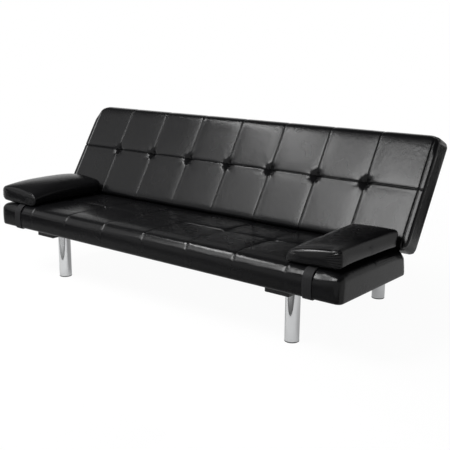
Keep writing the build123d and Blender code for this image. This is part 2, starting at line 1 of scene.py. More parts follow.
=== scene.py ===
"""Looks of the futon sofa bed: quilted leatherette cushions, chrome legs and a plain white studio.

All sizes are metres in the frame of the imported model: X along the sofa, Y to its back, Z up. The seat and
the back are drawn lying flat, as in the bed, and the back is then swung up about its hinge.
"""
import json
import logging
import math
from dataclasses import dataclass
from enum import Enum

import bpy
import numpy as np
from mathutils import Matrix, Vector
from mathutils.geometry import convex_hull_2d


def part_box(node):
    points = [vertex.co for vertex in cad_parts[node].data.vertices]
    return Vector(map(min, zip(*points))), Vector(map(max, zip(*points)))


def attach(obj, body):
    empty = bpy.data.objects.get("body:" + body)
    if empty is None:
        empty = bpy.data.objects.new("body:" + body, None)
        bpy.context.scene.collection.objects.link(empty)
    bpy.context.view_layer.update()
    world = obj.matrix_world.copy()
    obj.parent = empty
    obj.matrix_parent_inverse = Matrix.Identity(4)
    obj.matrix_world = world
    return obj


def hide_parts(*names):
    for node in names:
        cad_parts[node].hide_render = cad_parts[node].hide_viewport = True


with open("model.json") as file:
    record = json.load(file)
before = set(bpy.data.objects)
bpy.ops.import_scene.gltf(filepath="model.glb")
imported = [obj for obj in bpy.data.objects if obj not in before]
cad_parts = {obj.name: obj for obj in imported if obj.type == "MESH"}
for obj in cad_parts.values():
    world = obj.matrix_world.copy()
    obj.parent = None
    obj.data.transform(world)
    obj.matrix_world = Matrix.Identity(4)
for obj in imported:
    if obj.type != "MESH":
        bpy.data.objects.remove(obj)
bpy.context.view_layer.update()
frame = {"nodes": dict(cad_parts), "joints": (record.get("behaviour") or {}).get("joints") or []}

Array = np.ndarray
MM = 0.001
CUT_PLACE = "cut_place"
STRETCH = "stretch"
# Keeps a length from being divided by nothing, and how near counts as on a line, in metres or lattice units
TINY = 1e-9
TOUCH = 1e-6
# The radians that Blender's wave texture turns through in one unit
WAVE_TURN = 20
# Film counts as stretched from this sine of twice its slope, and fully stretched this much further on
SLOPE_FROM = 0.35
SLOPE_OVER = 0.5
HINGE = next(joint for joint in frame["joints"] if joint["type"] == "hinge")
SOFA_ANGLE = math.radians(HINGE["range_deg"][1])
log = logging.getLogger("sofa_bed")


class Side(Enum):
    """An end of the sofa, as a sitter names it from in front of it."""

    RIGHT = "right"
    LEFT = "left"

    @property
    def outward(self) -> int:
        """The sign of X towards this end."""
        return 1 if self is Side.RIGHT else -1


def linear(code: str, alpha: float = 1.0) -> tuple[float, float, float, float]:
    """Turn an sRGB hex code into a linear colour.

    Args:
        code: Six hex digits after a hash sign.
        alpha: The fourth value of the colour.

    Returns:
        Red, green, blue and alpha, linear.
    """
    parts = [int(code[place:place + 2], 16) / 255 for place in (1, 3, 5)]
    red, green, blue = [
        part / 12.92 if part <= 0.04045 else ((part + 0.055) / 1.055) ** 2.4 for part in parts
    ]
    return red, green, blue, alpha


def add_node(tree: bpy.types.NodeTree, kind: str, inputs: dict | None = None, **settings) -> bpy.types.Node:
    """Add one node, set its properties, and fill its inputs with values or with other nodes' sockets.

    Args:
        tree: The node tree to add to.
        kind: Blender's name for the kind of node.
        inputs: Values or output sockets by input name or number.
        settings: Properties of the node.

    Returns:
        The new node.
    """
    made = tree.nodes.new(kind)
    for key, value in settings.items():
        setattr(made, key, value)
    for key, value in (inputs or {}).items():
        if isinstance(value, bpy.types.NodeSocket):
            tree.links.new(value, made.inputs[key])
        else:
            made.inputs[key].default_value = value
    return made


def per_metre(size: float) -> float:
    """Give the texture scale at which one cell of a pattern has this size in metres."""
    return 1.0 / size


@dataclass(frozen=True)
class Finish:
    """A material: the name of the real stuff and how it was made, and what its shader starts from."""

    name: str
    colour: str
    roughness: float
    metallic: float = 0.0
    specular: float = 0.5

    def draw(self, tree: bpy.types.NodeTree, place: bpy.types.NodeSocket) -> dict:
        """Add the finish's own pattern.

        Args:
            tree: The material's node tree.
            place: Where a point lies, in Object coordinates.

        Returns:
            Inputs of the shader by name.
        """
        raise NotImplementedError

    def material(self) -> bpy.types.Material:
        """Give the material of this finish, made once.

        Returns:
            The material.
        """
        found = bpy.data.materials.get(self.name)
        if found:
            return found
        made = bpy.data.materials.new(self.name)
        made.use_nodes = True
        tree = made.node_tree
        tree.nodes.clear()
        place = add_node(tree, "ShaderNodeTexCoord").outputs["Object"]
        inputs = {
            "Base Color": linear(self.colour),
            "Roughness": self.roughness,
            "Metallic": self.metallic,
            "Specular IOR Level": self.specular,
            **self.draw(tree, place),
        }
        shader = add_node(tree, "ShaderNodeBsdfPrincipled", inputs)
        add_node(tree, "ShaderNodeOutputMaterial", {"Surface": shader.outputs["BSDF"]})
        return made

    def dress(self, piece: bpy.types.Object) -> None:
        """Put this finish on every material slot of a piece.

        Args:
            piece: The piece to dress.
        """
        if not piece.material_slots:
            piece.data.materials.append(self.material())
        for slot in piece.material_slots:
            slot.material = self.material()


@dataclass(frozen=True)
class Leatherette(Finish):
    """Cloth coated with polyurethane, embossed with a pebble grain and left half glossy.

    The eye gets a nearly black film that mirrors lamps softly, with a fine pebble and slow creases that
    break the mirror up, and a sharper gloss where the film is stretched over an edge or into a tuft. The
    real grain is under 1 mm, and it is drawn coarser so that it shows.
    """

    grain: float = 2.6 * MM
    wrinkle: float = 13.0 * MM
    crease: float = 42.0 * MM
    cloud: float = 110.0 * MM
    grain_depth: float = 0.07 * MM
    wrinkle_depth: float = 0.45 * MM
    crease_depth: float = 0.35 * MM
    shinier: float = 0.05
    duller: float = 0.07
    tight_gloss: float = 0.68

    def draw(self, tree: bpy.types.NodeTree, place: bpy.types.NodeSocket) -> dict:
        """Add pebble grain, fine wrinkles, slow creases and patches of duller and shinier film.

        Args:
            tree: The material's node tree.
            place: Where a point lies, in Object coordinates.

        Returns:
            Inputs of the shader by name.
        """
        pebble = add_node(tree, "ShaderNodeTexVoronoi", {"Vector": place, "Scale": per_metre(self.grain)},
                          feature="SMOOTH_F1")
        crease = add_node(tree, "ShaderNodeTexNoise", {
            "Vector": place, "Scale": per_metre(self.crease), "Detail": 3.0, "Roughness": 0.45})
        wrinkle = add_node(tree, "ShaderNodeTexNoise", {
            "Vector": place, "Scale": per_metre(self.wrinkle), "Detail": 4.0, "Roughness": 0.6})
        cloud = add_node(tree, "ShaderNodeTexNoise", {
            "Vector": place, "Scale": per_metre(self.cloud), "Detail": 2.0})
        dull = add_node(tree, "ShaderNodeMapRange", {
            "Value": cloud.outputs["Fac"], "To Min": self.roughness - self.shinier,
            "To Max": self.roughness + self.duller})
        stretch = add_node(tree, "ShaderNodeAttribute", attribute_name=STRETCH)
        tight = add_node(tree, "ShaderNodeMapRange", {
            "Value": stretch.outputs["Fac"], "To Min": 1.0, "To Max": self.tight_gloss})
        gloss = add_node(tree, "ShaderNodeMath", {0: dull.outputs["Result"], 1: tight.outputs["Result"]},
                         operation="MULTIPLY")
        slow = add_node(tree, "ShaderNodeBump", {
            "Height": crease.outputs["Fac"], "Strength": 1.0, "Distance": self.crease_depth})
        middle = add_node(tree, "ShaderNodeBump", {
            "Height": wrinkle.outputs["Fac"], "Strength": 1.0, "Distance": self.wrinkle_depth,
            "Normal": slow.outputs["Normal"]})
        fine = add_node(tree, "ShaderNodeBump", {
            "Height": pebble.outputs["Distance"], "Strength": 1.0, "Distance": self.grain_depth,
            "Normal": middle.outputs["Normal"]}, invert=True)
        return {"Roughness": gloss.outputs["Value"], "Normal": fine.outputs["Normal"]}


@dataclass(frozen=True)
class ChromeTube(Finish):
    """Steel tube, polished and plated with chrome: a clean mirror with a trace of polishing lines."""

    polish: float = 1.2 * MM
    polish_stretch: float = 60.0
    sharpest: float = 0.6
    dullest: float = 1.6

    def draw(self, tree: bpy.types.NodeTree, place: bpy.types.NodeSocket) -> dict:
        """Add faint lines round the tube, which make its mirror a little sharper and duller by turns.

        Args:
            tree: The material's node tree.
            place: Where a point lies, in Object coordinates.

        Returns:
            Inputs of the shader by name.
        """
        lines = add_node(tree, "ShaderNodeMapping", {
            "Vector": place, "Scale": (1.0, 1.0, self.polish_stretch)})
        noise = add_node(tree, "ShaderNodeTexNoise", {
            "Vector": lines.outputs["Vector"], "Scale": per_metre(self.polish * self.polish_stretch)})
        dull = add_node(tree, "ShaderNodeMapRange", {
            "Value": noise.outputs["Fac"], "To Min": self.roughness * self.sharpest,
            "To Max": self.roughness * self.dullest})
        return {"Roughness": dull.outputs["Result"]}


@dataclass(frozen=True)
class Coating(Finish):
    """A coat or skin with a pebbled surface, such as powder coat, moulded plastic or rubber."""

    pebble: float = 1.5 * MM
    depth: float = 0.06 * MM
    patch: float = 40.0 * MM
    shinier: float = 0.06
    duller: float = 0.08

    def draw(self, tree: bpy.types.NodeTree, place: bpy.types.NodeSocket) -> dict:
        """Add an orange peel bump and patches that are a little duller.

        Args:
            tree: The material's node tree.
            place: Where a point lies, in Object coordinates.

        Returns:
            Inputs of the shader by name.
        """
        peel = add_node(tree, "ShaderNodeTexNoise", {
            "Vector": place, "Scale": per_metre(self.pebble), "Detail": 2.0})
        patch = add_node(tree, "ShaderNodeTexNoise", {"Vector": place, "Scale": per_metre(self.patch)})
        dull = add_node(tree, "ShaderNodeMapRange", {
            "Value": patch.outputs["Fac"], "To Min": self.roughness - self.shinier,
            "To Max": self.roughness + self.duller})
        bump = add_node(tree, "ShaderNodeBump", {
            "Height": peel.outputs["Fac"], "Strength": 1.0, "Distance": self.depth})
        return {"Roughness": dull.outputs["Result"], "Normal": bump.outputs["Normal"]}


@dataclass(frozen=True)
class PlatedSteel(Finish):
    """Pressed steel with a zinc plating: a grey metal with a soft cloudy spangle."""

    spangle: float = 6.0 * MM
    shinier: float = 0.08
    duller: float = 0.1

    def draw(self, tree: bpy.types.NodeTree, place: bpy.types.NodeSocket) -> dict:
        """Add a patchwork of lighter and duller crystals.

        Args:
            tree: The material's node tree.
            place: Where a point lies, in Object coordinates.

        Returns:
            Inputs of the shader by name.
        """
        crystal = add_node(tree, "ShaderNodeTexVoronoi", {
            "Vector": place, "Scale": per_metre(self.spangle)}, feature="F1")
        shade = add_node(tree, "ShaderNodeSeparateColor", {"Color": crystal.outputs["Color"]})
        dull = add_node(tree, "ShaderNodeMapRange", {
            "Value": shade.outputs["Red"], "To Min": self.roughness - self.shinier,
            "To Max": self.roughness + self.duller})
        return {"Roughness": dull.outputs["Result"]}


@dataclass(frozen=True)
class Timber(Finish):
    """Sawn pine: pale yellow wood with darker growth lines along each length."""

    dark: str = "#a5763f"
    ring: float = 7.0 * MM
    depth: float = 0.2 * MM
    sawn: float = 0.4
    along_length: tuple[float, float, float] = (0.08, 0.25, 1.0)

    def draw(self, tree: bpy.types.NodeTree, place: bpy.types.NodeSocket) -> dict:
        """Add growth lines, stretched along the sofa and bent by a slow noise.

        Args:
            tree: The material's node tree.
            place: Where a point lies, in Object coordinates.

        Returns:
            Inputs of the shader by name.
        """
        along = add_node(tree, "ShaderNodeMapping", {"Vector": place, "Scale": self.along_length})
        rings = add_node(tree, "ShaderNodeTexWave", {
            "Vector": along.outputs["Vector"], "Scale": per_metre(self.ring) / WAVE_TURN, "Distortion": 5.0,
            "Detail": 3.0, "Detail Scale": 1.5}, bands_direction="Z")
        tint = add_node(tree, "ShaderNodeMix", {
            "Factor": rings.outputs["Fac"], "A": linear(self.colour), "B": linear(self.dark)},
            data_type="RGBA")
        bump = add_node(tree, "ShaderNodeBump", {
            "Height": rings.outputs["Fac"], "Strength": self.sawn, "Distance": self.depth})
        return {"Base Color": tint.outputs["Result"], "Normal": bump.outputs["Normal"]}


@dataclass(frozen=True)
class PressedBoard(Finish):
    """Hardboard pressed from wood fibre, or spun thread: brown and flecked."""

    dark: str = "#3f2a18"
    fleck: float = 2.5 * MM

    def draw(self, tree: bpy.types.NodeTree, place: bpy.types.NodeSocket) -> dict:
        """Add darker fibres over the base colour.

        Args:
            tree: The material's node tree.
            place: Where a point lies, in Object coordinates.

        Returns:
            Inputs of the shader by name.
        """
        fibre = add_node(tree, "ShaderNodeTexNoise", {
            "Vector": place, "Scale": per_metre(self.fleck), "Detail": 4.0, "Roughness": 0.7})
        tint = add_node(tree, "ShaderNodeMix", {
            "Factor": fibre.outputs["Fac"], "A": linear(self.colour), "B": linear(self.dark)},
            data_type="RGBA")
        return {"Base Color": tint.outputs["Result"]}


@dataclass(frozen=True)
class Webbing(Finish):
    """Polypropylene webbing, woven flat: rows of slanted threads with a dull sheen.

    The piece's UV map runs in metres across and along the strap. The real pick is about 1.3 mm, and it is
    drawn coarser so that it shows.
    """

    rib: float = 4.4 * MM
    pick: float = 3.0 * MM
    depth: float = 0.2 * MM
    light: str = "#1a1a1c"

    def draw(self, tree: bpy.types.NodeTree, place: bpy.types.NodeSocket) -> dict:
        """Add ribs along the strap crossed by picks.

        Args:
            tree: The material's node tree.
            place: Where a point lies, in Object coordinates.

        Returns:
            Inputs of the shader by name.
        """
        cloth = add_node(tree, "ShaderNodeUVMap", uv_map="weave").outputs["UV"]
        ribs = add_node(tree, "ShaderNodeTexWave", {
            "Vector": cloth, "Scale": per_metre(self.rib) / WAVE_TURN * math.pi}, bands_direction="X")
        picks = add_node(tree, "ShaderNodeTexWave", {
            "Vector": cloth, "Scale": per_metre(self.pick) / WAVE_TURN * math.pi, "Distortion": 0.4},
            bands_direction="Y")
        weave = add_node(tree, "ShaderNodeMath", {0: ribs.outputs["Fac"], 1: picks.outputs["Fac"]},
                         operation="MULTIPLY")
        tint = add_node(tree, "ShaderNodeMix", {
            "Factor": weave.outputs["Value"], "A": linear(self.colour), "B": linear(self.light)},
            data_type="RGBA")
        bump = add_node(tree, "ShaderNodeBump", {
            "Height": weave.outputs["Value"], "Strength": 1.0, "Distance": self.depth})
        return {"Base Color": tint.outputs["Result"], "Normal": bump.outputs["Normal"]}


@dataclass(frozen=True)
class Lining(Finish):
    """Dull cloth with rows of fine dots: pressed polypropylene lining, or the sheets of painted shade that
    film and chrome mirror in the studio.

    The eye gets a matt, slightly cloudy cloth. The dots of the real lining are about 1.5 mm apart, and they
    are drawn coarser so that they show.
    """

    dot: float = 4.0 * MM
    fibre: float = 20.0 * MM
    depth: float = 0.25 * MM
    light: str = "#262628"

    def draw(self, tree: bpy.types.NodeTree, place: bpy.types.NodeSocket) -> dict:
        """Add the dots and cloudy fibre.

        Args:
            tree: The material's node tree.
            place: Where a point lies, in Object coordinates.

        Returns:
            Inputs of the shader by name.
        """
        dots = add_node(tree, "ShaderNodeTexVoronoi", {
            "Vector": place, "Scale": per_metre(self.dot), "Randomness": 0.15}, feature="F1")
        fibre = add_node(tree, "ShaderNodeTexNoise", {
            "Vector": place, "Scale": per_metre(self.fibre), "Detail": 4.0})
        tint = add_node(tree, "ShaderNodeMix", {
            "Factor": fibre.outputs["Fac"], "A": linear(self.colour), "B": linear(self.light)},
            data_type="RGBA")
        bump = add_node(tree, "ShaderNodeBump", {
            "Height": dots.outputs["Distance"], "Strength": 1.0, "Distance": self.depth})
        return {"Base Color": tint.outputs["Result"], "Normal": bump.outputs["Normal"]}


LEATHERETTE = Leatherette("pu_leatherette_embossed", "#0b0b0c", 0.25, specular=0.153)
CHROME = ChromeTube("chrome_plated_steel_polished", "#bfc0c1", 0.06, metallic=1.0)
WEBBING = Webbing("polypropylene_webbing_woven", "#121213", 0.7, specular=0.2)
LINING = Lining("polypropylene_lining_spunbonded", "#131314", 0.8, specular=0.2)
# Painted shade: the sheets on the studio's boards, from nearly black to pale, which stand in for unlit floor
# and dark surroundings in what film and chrome mirror
BLACK_SHADE_FLAG = Lining("cotton_flag_cloth_woven", "#050505", 0.95, specular=0.1)
GREY_FLOOR_SHADE = Lining("cotton_floor_cloth_woven", "#7a7a7a", 0.95, specular=0.1)
DARK_FLOOR_SHADE = Lining("cotton_dark_cloth_woven", "#404040", 0.95, specular=0.1)
PALE_FLOOR_SHADE = Lining("cotton_pale_cloth_woven", "#aaaaaa", 0.95, specular=0.1, light="#b4b4b4")

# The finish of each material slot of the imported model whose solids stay
SLOT_FINISHES: dict[str, Finish] = {
    "black_rail_paint": Coating("steel_powder_coated_black", "#0b0b0c", 0.42, specular=0.35),
    "chrome_tube": CHROME,
    "black_plastic": Coating("polypropylene_moulded_black", "#101011", 0.5, specular=0.35, pebble=0.9 * MM),
    "black_rubber": Coating("rubber_moulded_black", "#121212", 0.75, specular=0.25, depth=0.1 * MM),
    "frame_timber": Timber("pine_sawn", "#d9b67e", 0.65),
    "hardboard": PressedBoard("hardboard_pressed", "#6b4a2c", 0.7),
    "tuft_twine": PressedBoard("polyester_twine_twisted", "#1c1c1e", 0.8, dark="#0e0e0f", fleck=1.0 * MM),
    "zinc_steel": PlatedSteel("steel_zinc_plated", "#a9adb0", 0.38, metallic=1.0),
}


def grid_faces(number: Array) -> Array:
    """Give the quads between neighbouring points of a grid of point numbers."""
    return np.stack([number[:-1, :-1], number[1:, :-1], number[1:, 1:], number[:-1, 1:]], -1).reshape(-1, 4)


def box_lattice(xs: Array, ys: Array, zs: Array) -> tuple[Array, Array]:
    """Make the closed skin of a box that is ruled along three sets of lines.

    A lattice point belongs to the skin where one of its three numbers is the first or the last. Each of the
    six sides is a grid of quads, and neighbouring sides share the points of their border.

    Args:
        xs: Places of the lines along X, rising.
        ys: Places of the lines along Y, rising.
        zs: Places of the lines along Z, rising.

    Returns:
        The points, and the quads as point numbers, facing outwards.
    """
    counts = (len(xs), len(ys), len(zs))
    steps = np.indices(counts)
    last = np.array(counts).reshape(3, 1, 1, 1) - 1
    skin = ((steps == 0) | (steps == last)).any(axis=0)
    number = np.full(counts, -1)
    number[skin] = np.arange(skin.sum())
    i, j, k = steps[0][skin], steps[1][skin], steps[2][skin]
    points = np.stack([xs[i], ys[j], zs[k]], axis=1)
    sides = [number[:, :, 0].T, number[:, :, -1], number[:, 0], number[:, -1].T, number[0].T, number[-1]]
    return points, np.concatenate([grid_faces(side) for side in sides])


def rounded(points: Array, low: Array, high: Array, radius: Array,
            corner: Array | None = None) -> tuple[Array, Array]:
    """Round the edges of a box.

    A point goes to its nearest place in the box that is smaller by the radius all round, and from there one
    radius back towards where it was.

    Args:
        points: Points on the skin of the box.
        low: The box's lowest corner.
        high: The box's highest corner.
        radius: The radius at each point.
        corner: By how much the corners in plan are rounder than the edges, at each point.

    Returns:
        The rounded points, and the direction outwards at each.
    """
    reach = radius[:, None]
    core = np.clip(points, low + reach, high - reach)
    away = points - core
    outwards = away / np.maximum(np.linalg.norm(away, axis=1, keepdims=True), TINY)
    if corner is not None:
        core = eased_corners(core, low + reach, high - reach, corner[:, None])
    return core + outwards * reach, outwards


def eased_corners(core: Array, low: Array, high: Array, reach: Array) -> Array:
    """Round a box's corners in plan.

    Within the reach of two sides at once, a point is drawn in towards the inner corner of that square until
    the square is a quarter of a disc.

    Args:
        core: Points in the box.
        low: The box's lowest corner.
        high: The box's highest corner.
        reach: The radius of the rounding at each point, as a column.

    Returns:
        The points with the corners rounded.
    """
    inner = np.clip(core[:, :2], low[:, :2] + reach, high[:, :2] - reach)
    beyond = core[:, :2] - inner
    longest = np.abs(beyond).max(axis=1)
    span = np.maximum(np.linalg.norm(beyond, axis=1), TINY)
    eased = core.copy()
    eased[:, :2] = inner + beyond * (longest / span)[:, None]
    return eased


def ruled(start: float, end: float, from_start: Array, from_end: Array, step: float) -> Array:
    """Place lines between two limits, closer together near both.

    Args:
        start: The first line.
        end: The last line.
        from_start: Distances of the first lines from the start, from 0 up.
        from_end: Distances of the last lines from the end, from 0 up.
        step: About how far apart the other lines are.

    Returns:
        The places of the lines, rising.
    """
    left, right = start + np.asarray(from_start), end - np.asarray(from_end)[::-1]
    count = max(int(round((right[0] - left[-1]) / step)), 1)
    return np.concatenate([left, np.linspace(left[-1], right[0], count + 1)[1:-1], right])


def rise(distance: Array, width: float, power: float = 3.0) -> Array:
    """Rise from 0 at a seam to 1 at a width from it: 1 less a power of what is left of the width."""
    return 1.0 - (1.0 - np.clip(distance / width, 0.0, 1.0)) ** power


def ease(distance: Array, width: float) -> Array:
    """Rise smoothly from 0 to 1 over a width, level at both ends."""
    share = np.clip(distance / width, 0.0, 1.0)
    return share ** 2 * (3 - 2 * share)


def bell(distance: Array, width: float) -> Array:
    """Fall from 1 at no distance, as a bell curve of that width."""
    return np.exp(-(distance / width) ** 2)


def make_piece(name: str, points: Array, faces: Array) -> bpy.types.Object:
    """Put points and quads into a smooth mesh object at the origin.

    Args:
        name: Name of the piece.
        points: Its points.
        faces: Its quads, as point numbers.

    Returns:
        The new object.
    """
    mesh = bpy.data.meshes.new(name)
    mesh.from_pydata(points.tolist(), [], faces.tolist())
    mesh.shade_smooth()
    piece = bpy.data.objects.new(name, mesh)
    bpy.context.scene.collection.objects.link(piece)
    return piece


def places(mesh: bpy.types.Mesh) -> Array:
    """Read the points of a mesh.

    Args:
        mesh: The mesh to read.

    Returns:
        One row for each point.
    """
    found = np.empty(len(mesh.vertices) * 3, np.float32)
    mesh.vertices.foreach_get("co", found)
    return found.reshape(-1, 3).astype(float)


def put_places(mesh: bpy.types.Mesh, points: Array) -> None:
    """Write the points of a mesh."""
    mesh.vertices.foreach_set("co", points.astype(np.float32).ravel())
    mesh.update()


def outward(mesh: bpy.types.Mesh) -> Array:
    """Read the direction outwards at each point of a mesh.

    Args:
        mesh: The mesh to read.

    Returns:
        One unit vector for each point.
    """
    found = np.empty(len(mesh.vertices) * 3, np.float32)
    mesh.vertex_normals.foreach_get("vector", found)
    return found.reshape(-1, 3).astype(float)


def note_cut(mesh: bpy.types.Mesh, cut: Array) -> None:
    """Keep with each point its place on the flat cover before it was padded."""
    attribute = mesh.attributes.new(CUT_PLACE, "FLOAT_VECTOR", "POINT")
    attribute.data.foreach_set("vector", cut.astype(np.float32).ravel())


def read_cut(mesh: bpy.types.Mesh) -> Array:
    """Read back the places on the flat cover, and drop the note.

    Args:
        mesh: A mesh with the note.

    Returns:
        One row for each point.
    """
    attribute = mesh.attributes[CUT_PLACE]
    found = np.empty(len(mesh.vertices) * 3, np.float32)
    attribute.data.foreach_get("vector", found)
    mesh.attributes.remove(attribute)
    return found.reshape(-1, 3).astype(float)


def note_stretch(mesh: bpy.types.Mesh) -> None:
    """Note how far a cover's film is stretched: by the sine of twice its slope, from a gentle slope up.

    Args:
        mesh: The sewn cover, still lying flat.
    """
    slope = outward(mesh)
    steep = 2 * np.hypot(slope[:, 0], slope[:, 1]) * slope[:, 2]
    attribute = mesh.attributes.new(STRETCH, "FLOAT", "POINT")
    attribute.data.foreach_set("value", ease(steep - SLOPE_FROM, SLOPE_OVER).astype(np.float32))


def settle(piece: bpy.types.Object) -> None:
    """Give a piece the mesh that its modifiers make, and drop the modifiers.

    Args:
        piece: The piece with its modifiers.
    """
    depsgraph = bpy.context.evaluated_depsgraph_get()
    old = piece.data
    made = bpy.data.meshes.new_from_object(
        piece.evaluated_get(depsgraph), preserve_all_data_layers=True, depsgraph=depsgraph)
    piece.modifiers.clear()
    piece.data = made
    bpy.data.meshes.remove(old)
    made.name = piece.name


def subdivide(piece: bpy.types.Object) -> None:
    """Smooth a piece by one level of subdivision.

    Args:
        piece: The piece to smooth.
    """
    level = piece.modifiers.new("smooth", "SUBSURF")
    level.levels = 1
    level.render_levels = 1
    settle(piece)


def neighbour_mean(mesh: bpy.types.Mesh, values: Array) -> Array:
    """Average the value at each point of a mesh with those at the points it has an edge to.

    Args:
        mesh: The mesh.
        values: One row for each of its points.

    Returns:
        The averages, one row for each point.
    """
    ends = np.empty(len(mesh.edges) * 2, np.int32)
    mesh.edges.foreach_get("vertices", ends)
    ends = ends.reshape(-1, 2)
    total, count = values.copy(), np.ones((len(values), 1))
    for here, there in (ends.T, ends.T[::-1]):
        np.add.at(total, here, values[there])
        np.add.at(count, here, 1.0)
    return total / count


def swing_up(mesh: bpy.types.Mesh) -> None:
    """Swing a mesh that is drawn flat, as in the bed, up about the hinge to the sofa angle.

    Args:
        mesh: The mesh to turn.
    """
    pivot = Matrix.Translation(HINGE["pos_m"])
    mesh.transform(pivot @ Matrix.Rotation(SOFA_ANGLE, 4, "X") @ pivot.inverted())
    mesh.update()


def stand_for(piece: bpy.types.Object, finish: Finish, body: str, nodes: tuple[str, ...]) -> None:
    """Dress a piece and put it in place of its solids.

    Args:
        piece: The finished piece.
        finish: What it is made of.
        body: The body that it moves with.
        nodes: The solids that it replaces.
    """
    finish.dress(piece)
    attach(piece, body)
    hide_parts(*nodes)


@dataclass(frozen=True)
class Inflation:
    """How the cloth simulation swells a padded cover, and how far a point may move."""

    pressure: float
    slack: float
    gather: float
    cap: float
    frames: int = 18
    bending: float = 2.0
    smoothing: int = 3

    def swell(self, piece: bpy.types.Object, pinned: Array, gathered: Array) -> None:
        """Blow a piece up with its seams held, and keep the capped result in its mesh.

        Args:
            piece: The cover, a closed mesh.
            pinned: How firmly each point is held, from 0 to 1.
            gathered: How much of the gather each point takes, from 0 to 1.
        """
        for name, weights in (("pinned", pinned), ("gathered", gathered)):
            group = piece.vertex_groups.new(name=name)
            levels = np.round(weights, 1)
            for level in np.unique(levels[levels > 0]):
                group.add(np.flatnonzero(levels == level).tolist(), float(level), "REPLACE")
        before = places(piece.data)
        cloth = piece.modifiers.new("cloth", "CLOTH")
        cloth.collision_settings.use_collision = False
        cloth.point_cache.frame_start = 1
        cloth.point_cache.frame_end = self.frames
        settings = cloth.settings
        settings.quality = 5
        settings.mass = 0.3
        settings.use_pressure = True
        settings.uniform_pressure_force = self.pressure
        settings.vertex_group_mass = "pinned"
        settings.vertex_group_shrink = "gathered"
        settings.shrink_min = -self.slack
        settings.shrink_max = -self.gather
        settings.bending_stiffness = self.bending
        settings.effector_weights.gravity = 0.0
        for step in range(1, self.frames + 1):
            bpy.context.scene.frame_set(step)
        settle(piece)
        bpy.context.scene.frame_set(1)
        piece.vertex_groups.clear()
        move = places(piece.data) - before
        for _ in range(self.smoothing):
            move = neighbour_mean(piece.data, move) * (1 - pinned[:, None])
        length = np.maximum(np.linalg.norm(move, axis=1, keepdims=True), TINY)
        put_places(piece.data, before + move / length * self.cap * np.tanh(length / self.cap))


